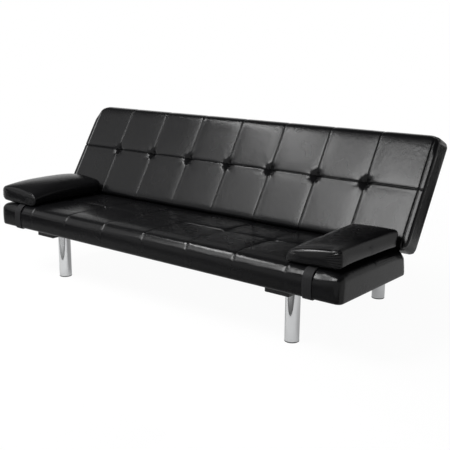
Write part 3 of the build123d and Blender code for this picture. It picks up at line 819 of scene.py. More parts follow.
@dataclass
class QuiltedSlab:
    """A cushion quilted in columns and two rows, drawn flat: its limits, edges, crowns and seams."""

    name: str
    body: str
    nodes: tuple[str, ...]
    length: float
    near: float
    far: float
    bottom: float
    top: float
    near_round: float
    far_round: float
    end_round: float
    near_bulge: float
    far_bulge: float
    tuft_level: float
    tuft_width: float
    droop: float
    seed: int
    inflation: Inflation
    crown: float = 13.5 * MM
    edge_share: float = 0.5
    end_share: float = 0.5
    seam_level: float = 12.0 * MM
    mid_level: float = 11.6 * MM
    low_round: float = 8.0 * MM
    corner_round: float = 6.0 * MM
    corner_low: float = 14.0 * MM
    seam_pitch: float = 206.5 * MM
    seam_count: int = 7
    seam_width: float = 16.0 * MM
    mid_width: float = 18.0 * MM
    near_width: float = 64.0 * MM
    far_width: float = 45.0 * MM
    end_width: float = 60.0 * MM
    edge_pull: float = 2.2 * MM
    groove_depth: float = 1.0 * MM
    groove_width: float = 1.7 * MM
    lap_height: float = 0.4 * MM
    lap_width: float = 6.0 * MM
    seam_fade: float = 30.0 * MM
    seam_bulge: float = 0.25
    far_blend: float = 90.0 * MM
    border_inset: float = 0.0
    border_depth: float = 2.0 * MM
    border_width: float = 2.6 * MM
    front_share: float = 0.12
    pleats: int = 7
    pleat_depth: float = 0.6 * MM
    pleat_reach: float = 15.0 * MM
    lip_height: float = 0.6 * MM
    lip_length: float = 16.0 * MM
    lip_width: float = 4.0 * MM
    line_step: float = 10.3 * MM
    fill: float = 0.75
    fullness_range: tuple[float, float] = (0.86, 1.06)
    sagging_range: tuple[float, float] = (0.55, 1.1)
    droop_reach: float = 16.0 * MM
    border_hold: float = 3.0 * MM
    tuft_hold: float = 5.0 * MM
    tuft_gather: float = 40.0 * MM
    seam_gather: float = 25.0 * MM
    seam_gather_share: float = 0.25
    pleat_end: float = 6.0
    top_from: float = 0.999
    front_touch: float = 0.01 * MM

    def __post_init__(self) -> None:
        """Draw the uneven crown of each panel once, from the slab's own seed."""
        chance = np.random.default_rng(self.seed)
        panels = (self.seam_count + 1, 2)
        self.fullness = chance.uniform(*self.fullness_range, panels)
        self.sagging = chance.uniform(*self.sagging_range, panels[0])
        self.turns = chance.uniform(0.0, 2 * math.pi, self.seam_count)

    @property
    def middle(self) -> float:
        """The line of the seam between the rows."""
        return (self.near + self.far) / 2

    @property
    def seams(self) -> Array:
        """The lines of the cross seams."""
        return self.seam_pitch * (np.arange(self.seam_count) - (self.seam_count - 1) / 2)

    def seam_distance(self, x: Array) -> Array:
        """How far each point is from the nearest cross seam."""
        return np.abs(x[:, None] - self.seams).min(axis=1)

    def tuft_distance(self, cut: Array) -> Array:
        """How far each point of the flat cover is from the nearest tuft."""
        return np.hypot(self.seam_distance(cut[:, 0]), cut[:, 1] - self.middle)

    def lattice(self) -> tuple[Array, Array]:
        """Rule the flat cover, closer along seams and round edges, and give its points and quads.

        Returns:
            The points, and the quads as point numbers.
        """
        by_seam = np.array([0.0, 1.8, 3.5, 5.5, 9.0, 15.0, 23.0, 32.0]) * MM
        by_edge = 1.0 - np.tan(np.radians([45.0, 36.0, 27.0, 18.0, 9.0, 0.0]))
        by_border = np.array([-5.5, -3.5, -1.8, 0.0, 1.8, 3.5, 5.5, 10.0]) * MM
        half = self.length / 2
        end_lines = by_edge * self.end_round
        if self.border_inset:
            end_lines = np.append(end_lines, self.border_inset + by_border)
        stops = [-half, *self.seams, half]
        columns = []
        for left, right in zip(stops[:-1], stops[1:]):
            from_left = end_lines if left == -half else by_seam
            from_right = end_lines if right == half else by_seam
            columns.append(ruled(left, right, from_left, from_right, self.line_step)[:-1])
        xs = np.append(np.concatenate(columns), half)
        ys = np.concatenate([
            ruled(self.near, self.middle, by_edge * self.near_round, by_seam, self.line_step)[:-1],
            ruled(self.middle, self.far, by_seam, by_edge * self.far_round, self.line_step),
        ])
        low_lines = np.array([0.0, 0.4, 1.0]) * self.low_round
        high_lines = np.union1d(by_edge * self.end_round, by_edge * self.far_round)
        zs = ruled(self.bottom, self.top, low_lines, high_lines, self.line_step)
        return box_lattice(xs, ys, zs)

    def edge_radius(self, cut: Array) -> Array:
        """Radius of the edges: small below, and above from the near to the far one, with its own at the ends.

        Args:
            cut: Points of the flat cover.

        Returns:
            The radius at each point.
        """
        from_near, from_end = cut[:, 1] - self.near, self.length / 2 - np.abs(cut[:, 0])
        above = self.near_round + (self.far_round - self.near_round) * ease(from_near, self.far - self.near)
        at_end = self.end_round + (self.far_round - self.end_round) * ease(
            cut[:, 1] - self.far + self.far_blend, self.far_blend)
        above = at_end + (above - at_end) * ease(from_end, self.far_blend)
        up = ease(cut[:, 2] - self.bottom, self.top - self.bottom)
        return self.low_round + (above - self.low_round) * up

    def height(self, cut: Array) -> Array:
        """Height of the quilted top over its edge plane.

        The crown is multiplied by three shares that rise from the outer edges, from the cross seams and from
        the middle seam, and a round dimple is taken off at each tuft.

        Args:
            cut: Points of the flat cover.

        Returns:
            The height at each point.
        """
        x, y = cut[:, 0], cut[:, 1]
        column = np.searchsorted(self.seams, x)
        row = (y > self.middle).astype(int)
        from_edge = np.ones_like(x)
        for distance, width, share in ((y - self.near, self.near_width, self.edge_share),
                                       (self.far - y, self.far_width, self.edge_share),
                                       (self.length / 2 - np.abs(x), self.end_width, self.end_share)):
            from_edge *= share + (1 - share) * ease(distance, width)
        seam_share = self.seam_level / self.crown
        mid_share = self.mid_level / self.crown
        cross = seam_share + (1 - seam_share) * rise(self.seam_distance(x), self.seam_width)
        mid = mid_share + (1 - mid_share) * rise(np.abs(y - self.middle), self.mid_width)
        level = self.crown * self.fullness[column, row] * from_edge * cross * mid
        crossing = self.crown * seam_share * mid_share
        return level - (crossing - self.tuft_level) * bell(self.tuft_distance(cut), self.tuft_width / 2)

    def padded_form(self, cut: Array) -> Array:
        """Round the flat cover and lift it: crowns above, bulges in front and behind, seams drawn in.

        Each point moves outwards by the quilted height where it faces up, and by a half sine of its height
        where it faces sideways, less the pull of the cross seams, which is greatest half way round the edge.
        Above the middle seam the cover then droops towards it.

        Args:
            cut: Points of the flat cover.

        Returns:
            The points of the padded cover.
        """
        low = np.array([-self.length / 2, self.near, self.bottom])
        high = np.array([self.length / 2, self.far, self.top])
        corner = self.corner_low + (self.corner_round - self.corner_low) * ease(
            cut[:, 2] - self.bottom, self.top - self.bottom)
        points, outwards = rounded(cut, low, high, self.edge_radius(cut), corner)
        upwards = np.clip(outwards[:, 2], 0.0, 1.0) ** 2
        sideways = outwards[:, 1] ** 2
        cross = rise(self.seam_distance(cut[:, 0]), self.seam_width)
        up = np.clip((cut[:, 2] - self.bottom) / (self.top - self.bottom), 0.0, 1.0)
        bulge = np.where(outwards[:, 1] < 0, self.near_bulge, self.far_bulge) * np.sin(math.pi * up)
        lift = upwards * self.height(cut)
        lift += sideways * bulge * (self.seam_bulge + (1 - self.seam_bulge) * cross)
        lift -= 4 * upwards * sideways * self.edge_pull * (1 - cross)
        points = points + outwards * lift[:, None]
        above = cut[:, 1] - self.middle
        hang = np.clip(above / self.droop_reach, 0.0, None)
        column = np.searchsorted(self.seams, cut[:, 0])
        points[:, 1] -= upwards * self.droop * self.sagging[column] * cross * hang * np.exp(1 - hang)
        return points

    def held(self, cut: Array) -> Array:
        """Which points are held in the simulation: the underside, the seams and the tufts.

        Args:
            cut: Points of the flat cover.

        Returns:
            1 where a point is held, and 0 elsewhere.
        """
        on_top = cut[:, 2] > self.top - TOUCH
        under = cut[:, 2] < self.bottom + self.low_round + TOUCH
        on_seam = (self.seam_distance(cut[:, 0]) < TOUCH) & (self.far - cut[:, 1] > self.seam_fade)
        on_middle = np.abs(cut[:, 1] - self.middle) < TOUCH
        border = np.abs(self.length / 2 - np.abs(cut[:, 0]) - self.border_inset) < self.border_hold
        tuft = self.tuft_distance(cut) < self.tuft_hold
        return (under | (on_top & (on_seam | on_middle | tuft)) | border).astype(float)

    def gathered(self, cut: Array) -> Array:
        """Where the cover has cloth to spare: round the tufts, and less along the seams.

        Args:
            cut: Points of the flat cover.

        Returns:
            The share of the gather at each point, from 0 to 1.
        """
        by_seam = np.minimum(self.seam_distance(cut[:, 0]), np.abs(cut[:, 1] - self.middle))
        spare = bell(self.tuft_distance(cut), self.tuft_gather)
        spare += self.seam_gather_share * bell(by_seam, self.seam_gather)
        return np.clip(spare, 0.0, 1.0)

    def seam_profile(self, past: Array) -> Array:
        """Depth of a lapped seam: a groove on its line, and past it the doubled edge that lies on top."""
        doubled = self.lap_height * bell(past - self.lap_width, self.lap_width)
        return doubled - self.groove_depth * bell(past, self.groove_width)

    def sew(self, mesh: bpy.types.Mesh) -> None:
        """Press the seams and the border into the padded cover, and pleat and pucker it round each tuft.

        A seam's depth goes by the distance from its line. The pleats are a cosine of the angle round the
        tuft, which rises and then fades with the distance from it. The lip is a bell on both sides of the
        middle seam.

        Args:
            mesh: The padded cover, with the note of its flat places.
        """
        cut = read_cut(mesh)
        points, outwards = places(mesh), outward(mesh)
        up = np.clip((cut[:, 2] - self.bottom) / (self.top - self.bottom), 0.0, 1.0)
        on_top = (up > self.top_from) * 1.0
        in_front = np.where(cut[:, 1] < self.near + self.front_touch, up * self.front_share, 0.0)
        nearest = np.abs(cut[:, :1] - self.seams).argmin(axis=1)
        beside, above = cut[:, 0] - self.seams[nearest], cut[:, 1] - self.middle
        fade = ease(self.far - cut[:, 1], self.seam_fade)
        depth = self.seam_profile(beside) * np.maximum(on_top, in_front) * fade
        depth += self.seam_profile(-above) * on_top
        if self.border_inset:
            from_border = self.length / 2 - np.abs(cut[:, 0]) - self.border_inset
            depth -= self.border_depth * bell(from_border, self.border_width) * on_top
        reach = np.hypot(beside, above) / self.pleat_reach
        fold = np.cos(self.pleats * np.arctan2(above, beside) + self.turns[nearest])
        depth += self.pleat_depth * fold * reach * np.exp(1 - reach) * on_top * (reach < self.pleat_end)
        lip = bell(np.abs(above) - self.lip_width, self.lip_width) - bell(above, self.lip_width)
        depth += self.lip_height * lip * bell(beside, self.lip_length) * on_top
        put_places(mesh, points + outwards * depth[:, None])

    def place(self, mesh: bpy.types.Mesh) -> None:
        """Move the flat cushion to where it is at rest; the seat is there already."""

    def cut_slots(self, piece: bpy.types.Object) -> None:
        """Cut the openings that the cover needs; most covers need none."""

    def build(self) -> bpy.types.Object:
        """Make the cushion, swell it, sew it, and put it in place of its solids.

        Returns:
            The finished cushion.
        """
        cut, faces = self.lattice()
        piece = make_piece(self.name, self.padded_form(cut), faces)
        note_cut(piece.data, cut)
        self.inflation.swell(piece, self.held(cut), self.gathered(cut))
        subdivide(piece)
        self.sew(piece.data)
        self.cut_slots(piece)
        note_stretch(piece.data)
        self.place(piece.data)
        stand_for(piece, LEATHERETTE, self.body, self.nodes)
        return piece


@dataclass
class SeatCushion(QuiltedSlab):
    """The quilted seat, with a slot at the back for the swing of each hinge arm."""

    slot_line: float = 590.4 * MM
    slot_width: float = 11.0 * MM
    slot_half: float = 15.5 * MM
    slot_reach: float = 0.17
    slot_swing: float = math.radians(65.5)

    def cut_slots(self, piece: bpy.types.Object) -> None:
        """Cut both hinge slots: a wedge about the hinge from flat to past the raised back.

        Args:
            piece: The sewn seat.
        """
        _, across, up = HINGE["pos_m"]
        turn, half, reach = self.slot_swing, self.slot_half, self.slot_reach
        outline = np.array([
            (across, up - half),
            (across + reach, up - half),
            (across + reach, up + reach),
            (across + reach * math.cos(turn) - half * math.sin(turn),
             up + reach * math.sin(turn) + half * math.cos(turn)),
            (across - half * math.sin(turn), up + half * math.cos(turn)),
        ])
        count = len(outline)
        ring = np.arange(count)
        walls = np.stack([ring, np.roll(ring, -1), np.roll(ring, -1) + count, ring + count], axis=1)
        for side in (-1, 1):
            ends = side * self.slot_line + self.slot_width / 2 * np.array([-1, 1])
            points = np.concatenate([np.column_stack([np.full(count, x), outline]) for x in ends])
            mesh = bpy.data.meshes.new("slot_cutter")
            mesh.from_pydata(points.tolist(), [], [*walls[:, ::-1].tolist(), ring.tolist(),
                                                   (ring[::-1] + count).tolist()])
            cutter = bpy.data.objects.new("slot_cutter", mesh)
            bpy.context.scene.collection.objects.link(cutter)
            cut = piece.modifiers.new("slot", "BOOLEAN")
            cut.operation = "DIFFERENCE"
            cut.solver = "MANIFOLD"
            cut.object = cutter
            settle(piece)
            bpy.data.objects.remove(cutter)
            bpy.data.meshes.remove(mesh)


@dataclass
class BackCushion(QuiltedSlab):
    """The quilted back, which is drawn flat and swung up about its hinge."""

    def place(self, mesh: bpy.types.Mesh) -> None:
        """Swing the back up from the bed to the sofa angle."""
        swing_up(mesh)


@dataclass
class ArmPillow:
    """A plump arm pillow: one cover wrapped round it lengthwise, with a sewn-in panel at each end."""

    side: Side
    tilt: float
    turn: float
    lean: float
    front_drop: float
    front_sag: float
    crown: float
    inflation: Inflation
    width: float = 210.0 * MM
    length: float = 364.0 * MM
    edge: float = 60.0 * MM
    sag: float = 3.0 * MM
    draw: float = 4.0 * MM
    side_bulge: float = 4.0 * MM
    long_round: float = 12.0 * MM
    end_round: float = 5.0 * MM
    end_bulge: float = 4.0 * MM
    slope_top: float = 50.0 * MM
    rear_slope: float = 0.47
    gather_reach: float = 28.0 * MM
    pucker_pitch: float = 10.0 * MM
    pucker_spread: float = 38.0 * MM
    pucker_width: float = 9.0 * MM
    pucker_depth: float = 1.0 * MM
    line_step: float = 5.5 * MM
    fill: float = 0.8
    side_lines: float = 1.6
    rest_along: float = 0.9
    rest_across: float = 0.85

    @property
    def name(self) -> str:
        """The name of the pillow's piece."""
        return f"{self.side.value}_arm_pillow"

    def lattice(self) -> tuple[Array, Array]:
        """Rule a box from -1 to 1 each way, and give its points and quads."""
        sizes = (self.width, self.length, self.edge * self.side_lines)
        counts = [round(size / self.line_step) for size in sizes]
        return box_lattice(*[np.linspace(-1.0, 1.0, count + 1) for count in counts])

    def edge_height(self, across: Array, along: Array) -> Array:
        """Height of the sides: even, but dropping to the inner corner at the front."""
        inner, front = (1 - self.side.outward * across) / 2, (1 - along) / 2
        return self.edge - self.front_drop * inner * front ** 2

    def form(self, cut: Array) -> Array:
        """Shape the ruled box into a pillow.

        Across the pillow each ring of the box is a rectangle with round corners, whose top rises in a crown
        and whose bottom sags. Along it the crown falls towards both ends, and the sides are drawn in between.
        The end panels are the last rings shrunk to a point, and they bow outwards. Last, the inner side is
        leaned over by moving each point sideways by its height.

        Args:
            cut: Points of the ruled box, from -1 to 1 each way.

        Returns:
            The points of the pillow.
        """
        ring = np.maximum(np.abs(cut[:, 0]), np.abs(cut[:, 2]))
        spread = np.where(ring > 0, ring, 1.0)
        across, up, along = cut[:, 0] / spread, cut[:, 2] / spread, cut[:, 1]
        full = np.sqrt(1 - along ** 4)
        half_width = self.width / 2 - self.side_bulge - self.draw * (1 - along ** 2)
        edge = self.edge_height(across, along)
        flat = np.stack([across * half_width, np.zeros_like(up), (up + 1) / 2 * edge], axis=1)
        low = np.stack([-half_width, np.full_like(up, -1.0), np.zeros_like(up)], axis=1)
        high = np.stack([half_width, np.full_like(up, 1.0), edge], axis=1)
        points, outwards = rounded(flat, low, high, np.full_like(up, self.long_round))
        bow = 1 - (points[:, 0] / half_width) ** 2
        points[:, 2] += np.where(up > 0, self.crown * full, -self.sag * full) * bow * np.abs(up)
        points[:, 0] += np.sign(across) * outwards[:, 0] ** 2 * self.side_bulge
        from_end = (1 - np.abs(along)) * self.length / 2
        inset = self.end_round - np.sqrt(np.maximum(
            self.end_round ** 2 - np.clip(self.end_round - from_end, 0.0, None) ** 2, 0.0))
        heart = self.edge_height(across * ring, along) / 2
        shrink = ring * (1 - 2 * inset / self.edge)
        points[:, 0] *= shrink
        points[:, 2] = heart + (points[:, 2] - edge / 2) * shrink
        points[:, 1] = along * self.length / 2 - np.sign(along) * self.end_bulge * ring ** 2
        inner = (1 - self.side.outward * points[:, 0] / half_width) / 2
        points[:, 0] += self.side.outward * self.lean * inner * np.clip(points[:, 2] / self.edge, 0.0, 1.0)
        return points

    def pucker(self, mesh: bpy.types.Mesh) -> None:
        """Gather the cover along the end seams into small folds, deepest at the corners of the end panels.

        The folds are a cosine of the distance walked along the seam from its nearest corner, fading with that
        distance and with the distance from the seam.

        Args:
            mesh: The swollen pillow, with the note of its ruled box.
        """
        cut = read_cut(mesh)
        ring = np.maximum(np.abs(cut[:, 0]), np.abs(cut[:, 2]))
        spread = np.maximum(ring, TOUCH)
        across, up = np.abs(cut[:, 0]) / spread, np.abs(cut[:, 2]) / spread
        walked = np.where(across > up, (1 - up) * self.edge / 2, (1 - across) * self.width / 2)
        from_seam = (1 - np.abs(cut[:, 1])) * self.length / 2 + (1 - ring) * self.edge / 2
        fold = np.cos(2 * math.pi * walked / self.pucker_pitch) * bell(walked, self.pucker_spread)
        depth = self.pucker_depth * fold * bell(from_seam, self.pucker_width)
        put_places(mesh, places(mesh) + outward(mesh) * depth[:, None])

    def rest_ends(self, mesh: bpy.types.Mesh) -> None:
        """Let the front end sink over the rounded edge of the seat, and slope the rear end along the back.

        Both grow with the cube of how far a point is from the middle. The slope draws a point forward by how
        far it is below the top of the slope, which leaves room for the back when it is pulled forward.

        Args:
            mesh: The puckered pillow.
        """
        points = places(mesh)
        along = np.clip(2 * points[:, 1] / self.length, -1.0, 1.0) ** 3
        below = np.clip(self.slope_top - points[:, 2], 0.0, None)
        points[:, 2] += self.front_sag * np.minimum(along, 0.0)
        points[:, 1] -= self.rear_slope * below * np.maximum(along, 0.0)
        put_places(mesh, points)

    def seat_at_rest(self, mesh: bpy.types.Mesh, base: Array) -> None:
        """Tip and turn the pillow and set it where its solid lies, by the solid's box.

        Args:
            mesh: The finished pillow about the origin.
            base: The pillow's points before it was swollen.
        """
        outward = self.side.outward
        tip = Matrix.Rotation(-outward * self.turn, 4, "Z") @ Matrix.Rotation(-outward * self.tilt, 4, "Y")
        turned = base @ np.array(tip.to_3x3()).T
        low, high = (np.array(corner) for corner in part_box(f"{self.side.value}_pillow_cover"))
        shift = (low + high) / 2 - (turned.min(axis=0) + turned.max(axis=0)) / 2
        shift[2] = low[2] - turned[:, 2].min()
        mesh.transform(Matrix.Translation(shift) @ tip)
        mesh.update()

    def build(self) -> bpy.types.Object:
        """Make the pillow, swell it, and put it in place of its solids.

        Returns:
            The finished pillow.
        """
        cut, faces = self.lattice()
        base = self.form(cut)
        piece = make_piece(self.name, base, faces)
        note_cut(piece.data, cut)
        ring = np.maximum(np.abs(cut[:, 0]), np.abs(cut[:, 2]))
        within = (np.abs(cut[:, 1]) < self.rest_along) & (np.abs(cut[:, 0]) < self.rest_across)
        resting = (cut[:, 2] < -1 + TOUCH) & within
        end_seam = (np.abs(cut[:, 1]) > 1 - TOUCH) & (ring > 1 - TOUCH)
        near_seam = bell((1 - np.abs(cut[:, 1])) * self.length / 2, self.gather_reach) * ring
        self.inflation.swell(piece, (resting | end_seam).astype(float), near_seam)
        subdivide(piece)
        self.pucker(piece.data)
        self.rest_ends(piece.data)
        note_stretch(piece.data)
        self.seat_at_rest(piece.data, base)
        body = f"{self.side.value}_pillow"
        stand_for(piece, LEATHERETTE, body, (f"{body}_cover", f"{body}_filling"))
        return piece


@dataclass
class PillowStrap:
    """A webbing strap pulled taut round the seat, which carries one arm pillow."""

    side: Side
    over: str
    thickness: float = 1.8 * MM
    gap: float = 0.4 * MM
    selvedge: float = 0.5 * MM
    step: float = 5.0 * MM
    steps_across: int = 10
    directions: int = 1441

    def path(self) -> tuple[Array, Array]:
        """Follow the strap's solid: the closed line in the middle of its thickness, and the way outwards.

        The strap is convex, so for each direction round it the furthest point of the solid lies on its outer
        face. Where the padded cover below stands out further, the strap lies on that. The line is then
        divided evenly.

        Returns:
            Points (Y, Z) along the strap, and the unit vectors outwards.
        """
        solid = places(frame["nodes"][f"{self.side.value}_pillow_strap"].data)[:, 1:]
        angles = np.linspace(0.0, 2 * math.pi, self.directions)
        directions = np.stack([np.cos(angles), np.sin(angles)], axis=1)
        cover = places(bpy.data.objects[self.over].data)[:, 1:]
        cover[:, 1] = np.minimum(cover[:, 1], solid[:, 1].max() - self.thickness - self.gap)
        cover = cover[convex_hull_2d(cover.tolist())]
        along_solid = solid[(solid @ directions.T).argmax(axis=0)] - directions * self.thickness / 2
        lift = self.thickness / 2 + self.gap
        along_cover = cover[(cover @ directions.T).argmax(axis=0)] + directions * lift
        further = ((along_cover - along_solid) * directions).sum(axis=1) > 0
        line = np.where(further[:, None], along_cover, along_solid)
        walked = np.append(0.0, np.linalg.norm(np.diff(line, axis=0), axis=1).cumsum())
        count = int(walked[-1] / self.step)
        stops = np.linspace(0.0, walked[-1], count, endpoint=False)
        keep = np.append(True, np.diff(walked) > TINY)
        even = np.stack([np.interp(stops, walked[keep], line[keep, axis]) for axis in (0, 1)], axis=1)
        ahead = np.roll(even, -1, axis=0) - np.roll(even, 1, axis=0)
        normal = np.stack([ahead[:, 1], -ahead[:, 0]], axis=1)
        return even, normal / np.linalg.norm(normal, axis=1, keepdims=True)

    def section(self) -> Array:
        """Outline of the webbing: across it and out of it, a flat band with rounded selvedges.

        Returns:
            Places across and out of the webbing, once round.
        """
        low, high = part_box(f"{self.side.value}_pillow_strap")
        half = (high.x - low.x) / 2
        across = np.linspace(-half + self.selvedge, half - self.selvedge, self.steps_across)
        rim = self.thickness / 2
        right = [(half, rim / 2), (half, -rim / 2)]
        left = [(-half, -rim / 2), (-half, rim / 2)]
        upper = np.column_stack([across, np.full_like(across, rim)])
        lower = np.column_stack([across[::-1], np.full_like(across, -rim)])
        return np.concatenate([upper, right, lower, left])

    def build(self) -> bpy.types.Object:
        """Carry the webbing's outline along the path and put the strap in place of its solid.

        Returns:
            The finished strap.
        """
        low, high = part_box(f"{self.side.value}_pillow_strap")
        path, normal = self.path()
        outline = self.section()
        x = (low.x + high.x) / 2 + np.tile(outline[:, 0], len(path))
        out = path[:, None, :] + normal[:, None, :] * outline[None, :, 1:]
        points = np.column_stack([x, out.reshape(-1, 2)])
        number = np.arange(len(points)).reshape(len(path), len(outline))
        number = np.pad(number, ((0, 1), (0, 1)), mode="wrap")
        faces = grid_faces(number.T)
        piece = make_piece(f"{self.side.value}_pillow_webbing", points, faces)
        around = np.arange(len(path) + 1) * self.step
        girth = np.append(outline[:, 0], outline[0, 0])
        weave = np.stack(np.meshgrid(girth, around), axis=-1)
        corner = grid_faces(np.arange(weave.shape[0] * weave.shape[1]).reshape(weave.shape[:2]).T)
        layer = piece.data.uv_layers.new(name="weave")
        layer.data.foreach_set("uv", weave.reshape(-1, 2)[corner.ravel()].astype(np.float32).ravel())
        body = f"{self.side.value}_pillow"
        stand_for(piece, WEBBING, body, (f"{body}_strap",))
        return piece


@dataclass
class LiningPanel:
    """A thin lining cloth stapled flat under a cushion, a little slack between its staples."""

    name: str
    node: str
    body: str
    rests_on: tuple[str, ...]
    half_length: float
    near: float
    far: float
    bottom: float
    top: float
    raised: bool = False
    staple_pitch: float = 62.0 * MM
    slack: float = 0.35 * MM
    ripple_reach: float = 25.0 * MM
    ripple_share: float = 0.25
    edge_draw: float = 0.8 * MM
    sharp_from: float = math.radians(50.0)
    step: float = 9.0 * MM

    def build(self) -> bpy.types.Object:
        """Rule the panel, draw it in along its edges between staples, and put it in place of its solid.

        The ripples are cosines along the edges with the staples' pitch, which fade inwards.

        Returns:
            The finished lining.
        """
        xs = np.linspace(-self.half_length, self.half_length, round(2 * self.half_length / self.step) + 1)
        ys = np.linspace(self.near, self.far, round((self.far - self.near) / self.step) + 1)
        points, faces = box_lattice(xs, ys, np.array([self.bottom, self.top]))
        x, y = points[:, 0], points[:, 1]
        span = (self.far - self.near) / 2
        from_side = np.minimum(y - self.near, self.far - y)
        from_end = self.half_length - np.abs(x)
        ripple_x = np.cos(2 * math.pi * x / self.staple_pitch) * np.exp(-from_side / self.ripple_reach)
        ripple_y = np.cos(2 * math.pi * y / self.staple_pitch) * np.exp(-from_end / self.ripple_reach)
        wave = 0.5 + self.ripple_share * (ripple_x + ripple_y)
        inner = points[:, 2] > (self.bottom + self.top) / 2
        thick = np.where(inner, self.top - self.bottom - self.slack, 0)
        points[:, 2] = self.bottom + wave * self.slack + thick
        points[:, 1] += self.edge_draw * ripple_x * np.sign(y - self.near - span)
        piece = make_piece(self.name, points, faces)
        piece.data.set_sharp_from_angle(angle=self.sharp_from)
        if self.raised:
            swing_up(piece.data)
        stand_for(piece, LINING, self.body, (self.node,))
        return piece


@dataclass(frozen=True)
class Softbox:
    """A flat studio lamp: where it hangs, where it points, its size and how bright its face is."""

    name: str
    at: tuple[float, float, float]
    towards: tuple[float, float, float]
    size: tuple[float, float]
    radiance: float

    def build(self) -> None:
        """Hang the lamp; its power is the brightness of its face times its area and pi."""
        lamp = bpy.data.lights.new(self.name, "AREA")
        lamp.shape = "RECTANGLE"
        lamp.size, lamp.size_y = self.size
        lamp.energy = self.radiance * math.pi * self.size[0] * self.size[1]
        holder = bpy.data.objects.new(self.name, lamp)
        holder.location = self.at
        holder.rotation_euler = (Vector(self.towards) - Vector(self.at)).to_track_quat("-Z", "Y").to_euler()
        bpy.context.scene.collection.objects.link(holder)


@dataclass(frozen=True)
class ShadeBoard:
    """A dark sheet out of the camera's sight that casts no shadow: painted shade, standing in for unlit floor
    and dark surroundings in what film and chrome mirror.
    """

    name: str
    low: tuple[float, float, float]
    high: tuple[float, float, float]
    finish: Finish

    def build(self) -> None:
        """Place the board, which the camera doesn't see and which casts no shadow."""
        points, faces = box_lattice(*[np.array(limits) for limits in zip(self.low, self.high)])
        piece = make_piece(self.name, points, faces)
        piece.visible_camera = False
        piece.visible_shadow = False
        self.finish.dress(piece)


# Painted shade: flags and floor sheets that only film and chrome mirror, darker where the floor and room
# would be unlit
SHADE_BOARDS = (
    ShadeBoard("end_flag", (1.5, 1.35, 0.0), (1.52, 2.8, 0.9), BLACK_SHADE_FLAG),
    ShadeBoard("end_cloth", (0.9, 1.25, 0.001), (1.5, 2.8, 0.004), BLACK_SHADE_FLAG),
    ShadeBoard("left_flag", (-3.12, -3.2, 0.0), (-3.1, -1.2, 0.9), BLACK_SHADE_FLAG),
    ShadeBoard("floor_cloth", (-1.1, -1.7, 0.001), (0.7, -0.95, 0.004), GREY_FLOOR_SHADE),
    ShadeBoard("left_floor_cloth", (-3.6, -2.3, 0.001), (-1.1, -0.95, 0.004), DARK_FLOOR_SHADE),
    ShadeBoard("front_cloth", (-2.6, -0.95, 0.001), (1.6, -0.53, 0.004), PALE_FLOOR_SHADE),
)
LAMPS = (
    Softbox("key_softbox", (-0.45, -1.9, 2.5), (-0.1, 0.0, 0.35), (1.0, 1.1), 24.0),
    Softbox("fill_softbox", (-1.65, -1.9, 2.5), (-0.3, 0.0, 0.35), (1.1, 1.0), 5.3),
    Softbox("far_softbox", (-3.1, -1.7, 2.5), (-0.5, 0.0, 0.35), (1.6, 1.4), 1.05),
    Softbox("edge_strip", (-1.45, -0.9, 2.6), (-0.1, -0.3, 0.3), (1.0, 0.26), 36.0),
)


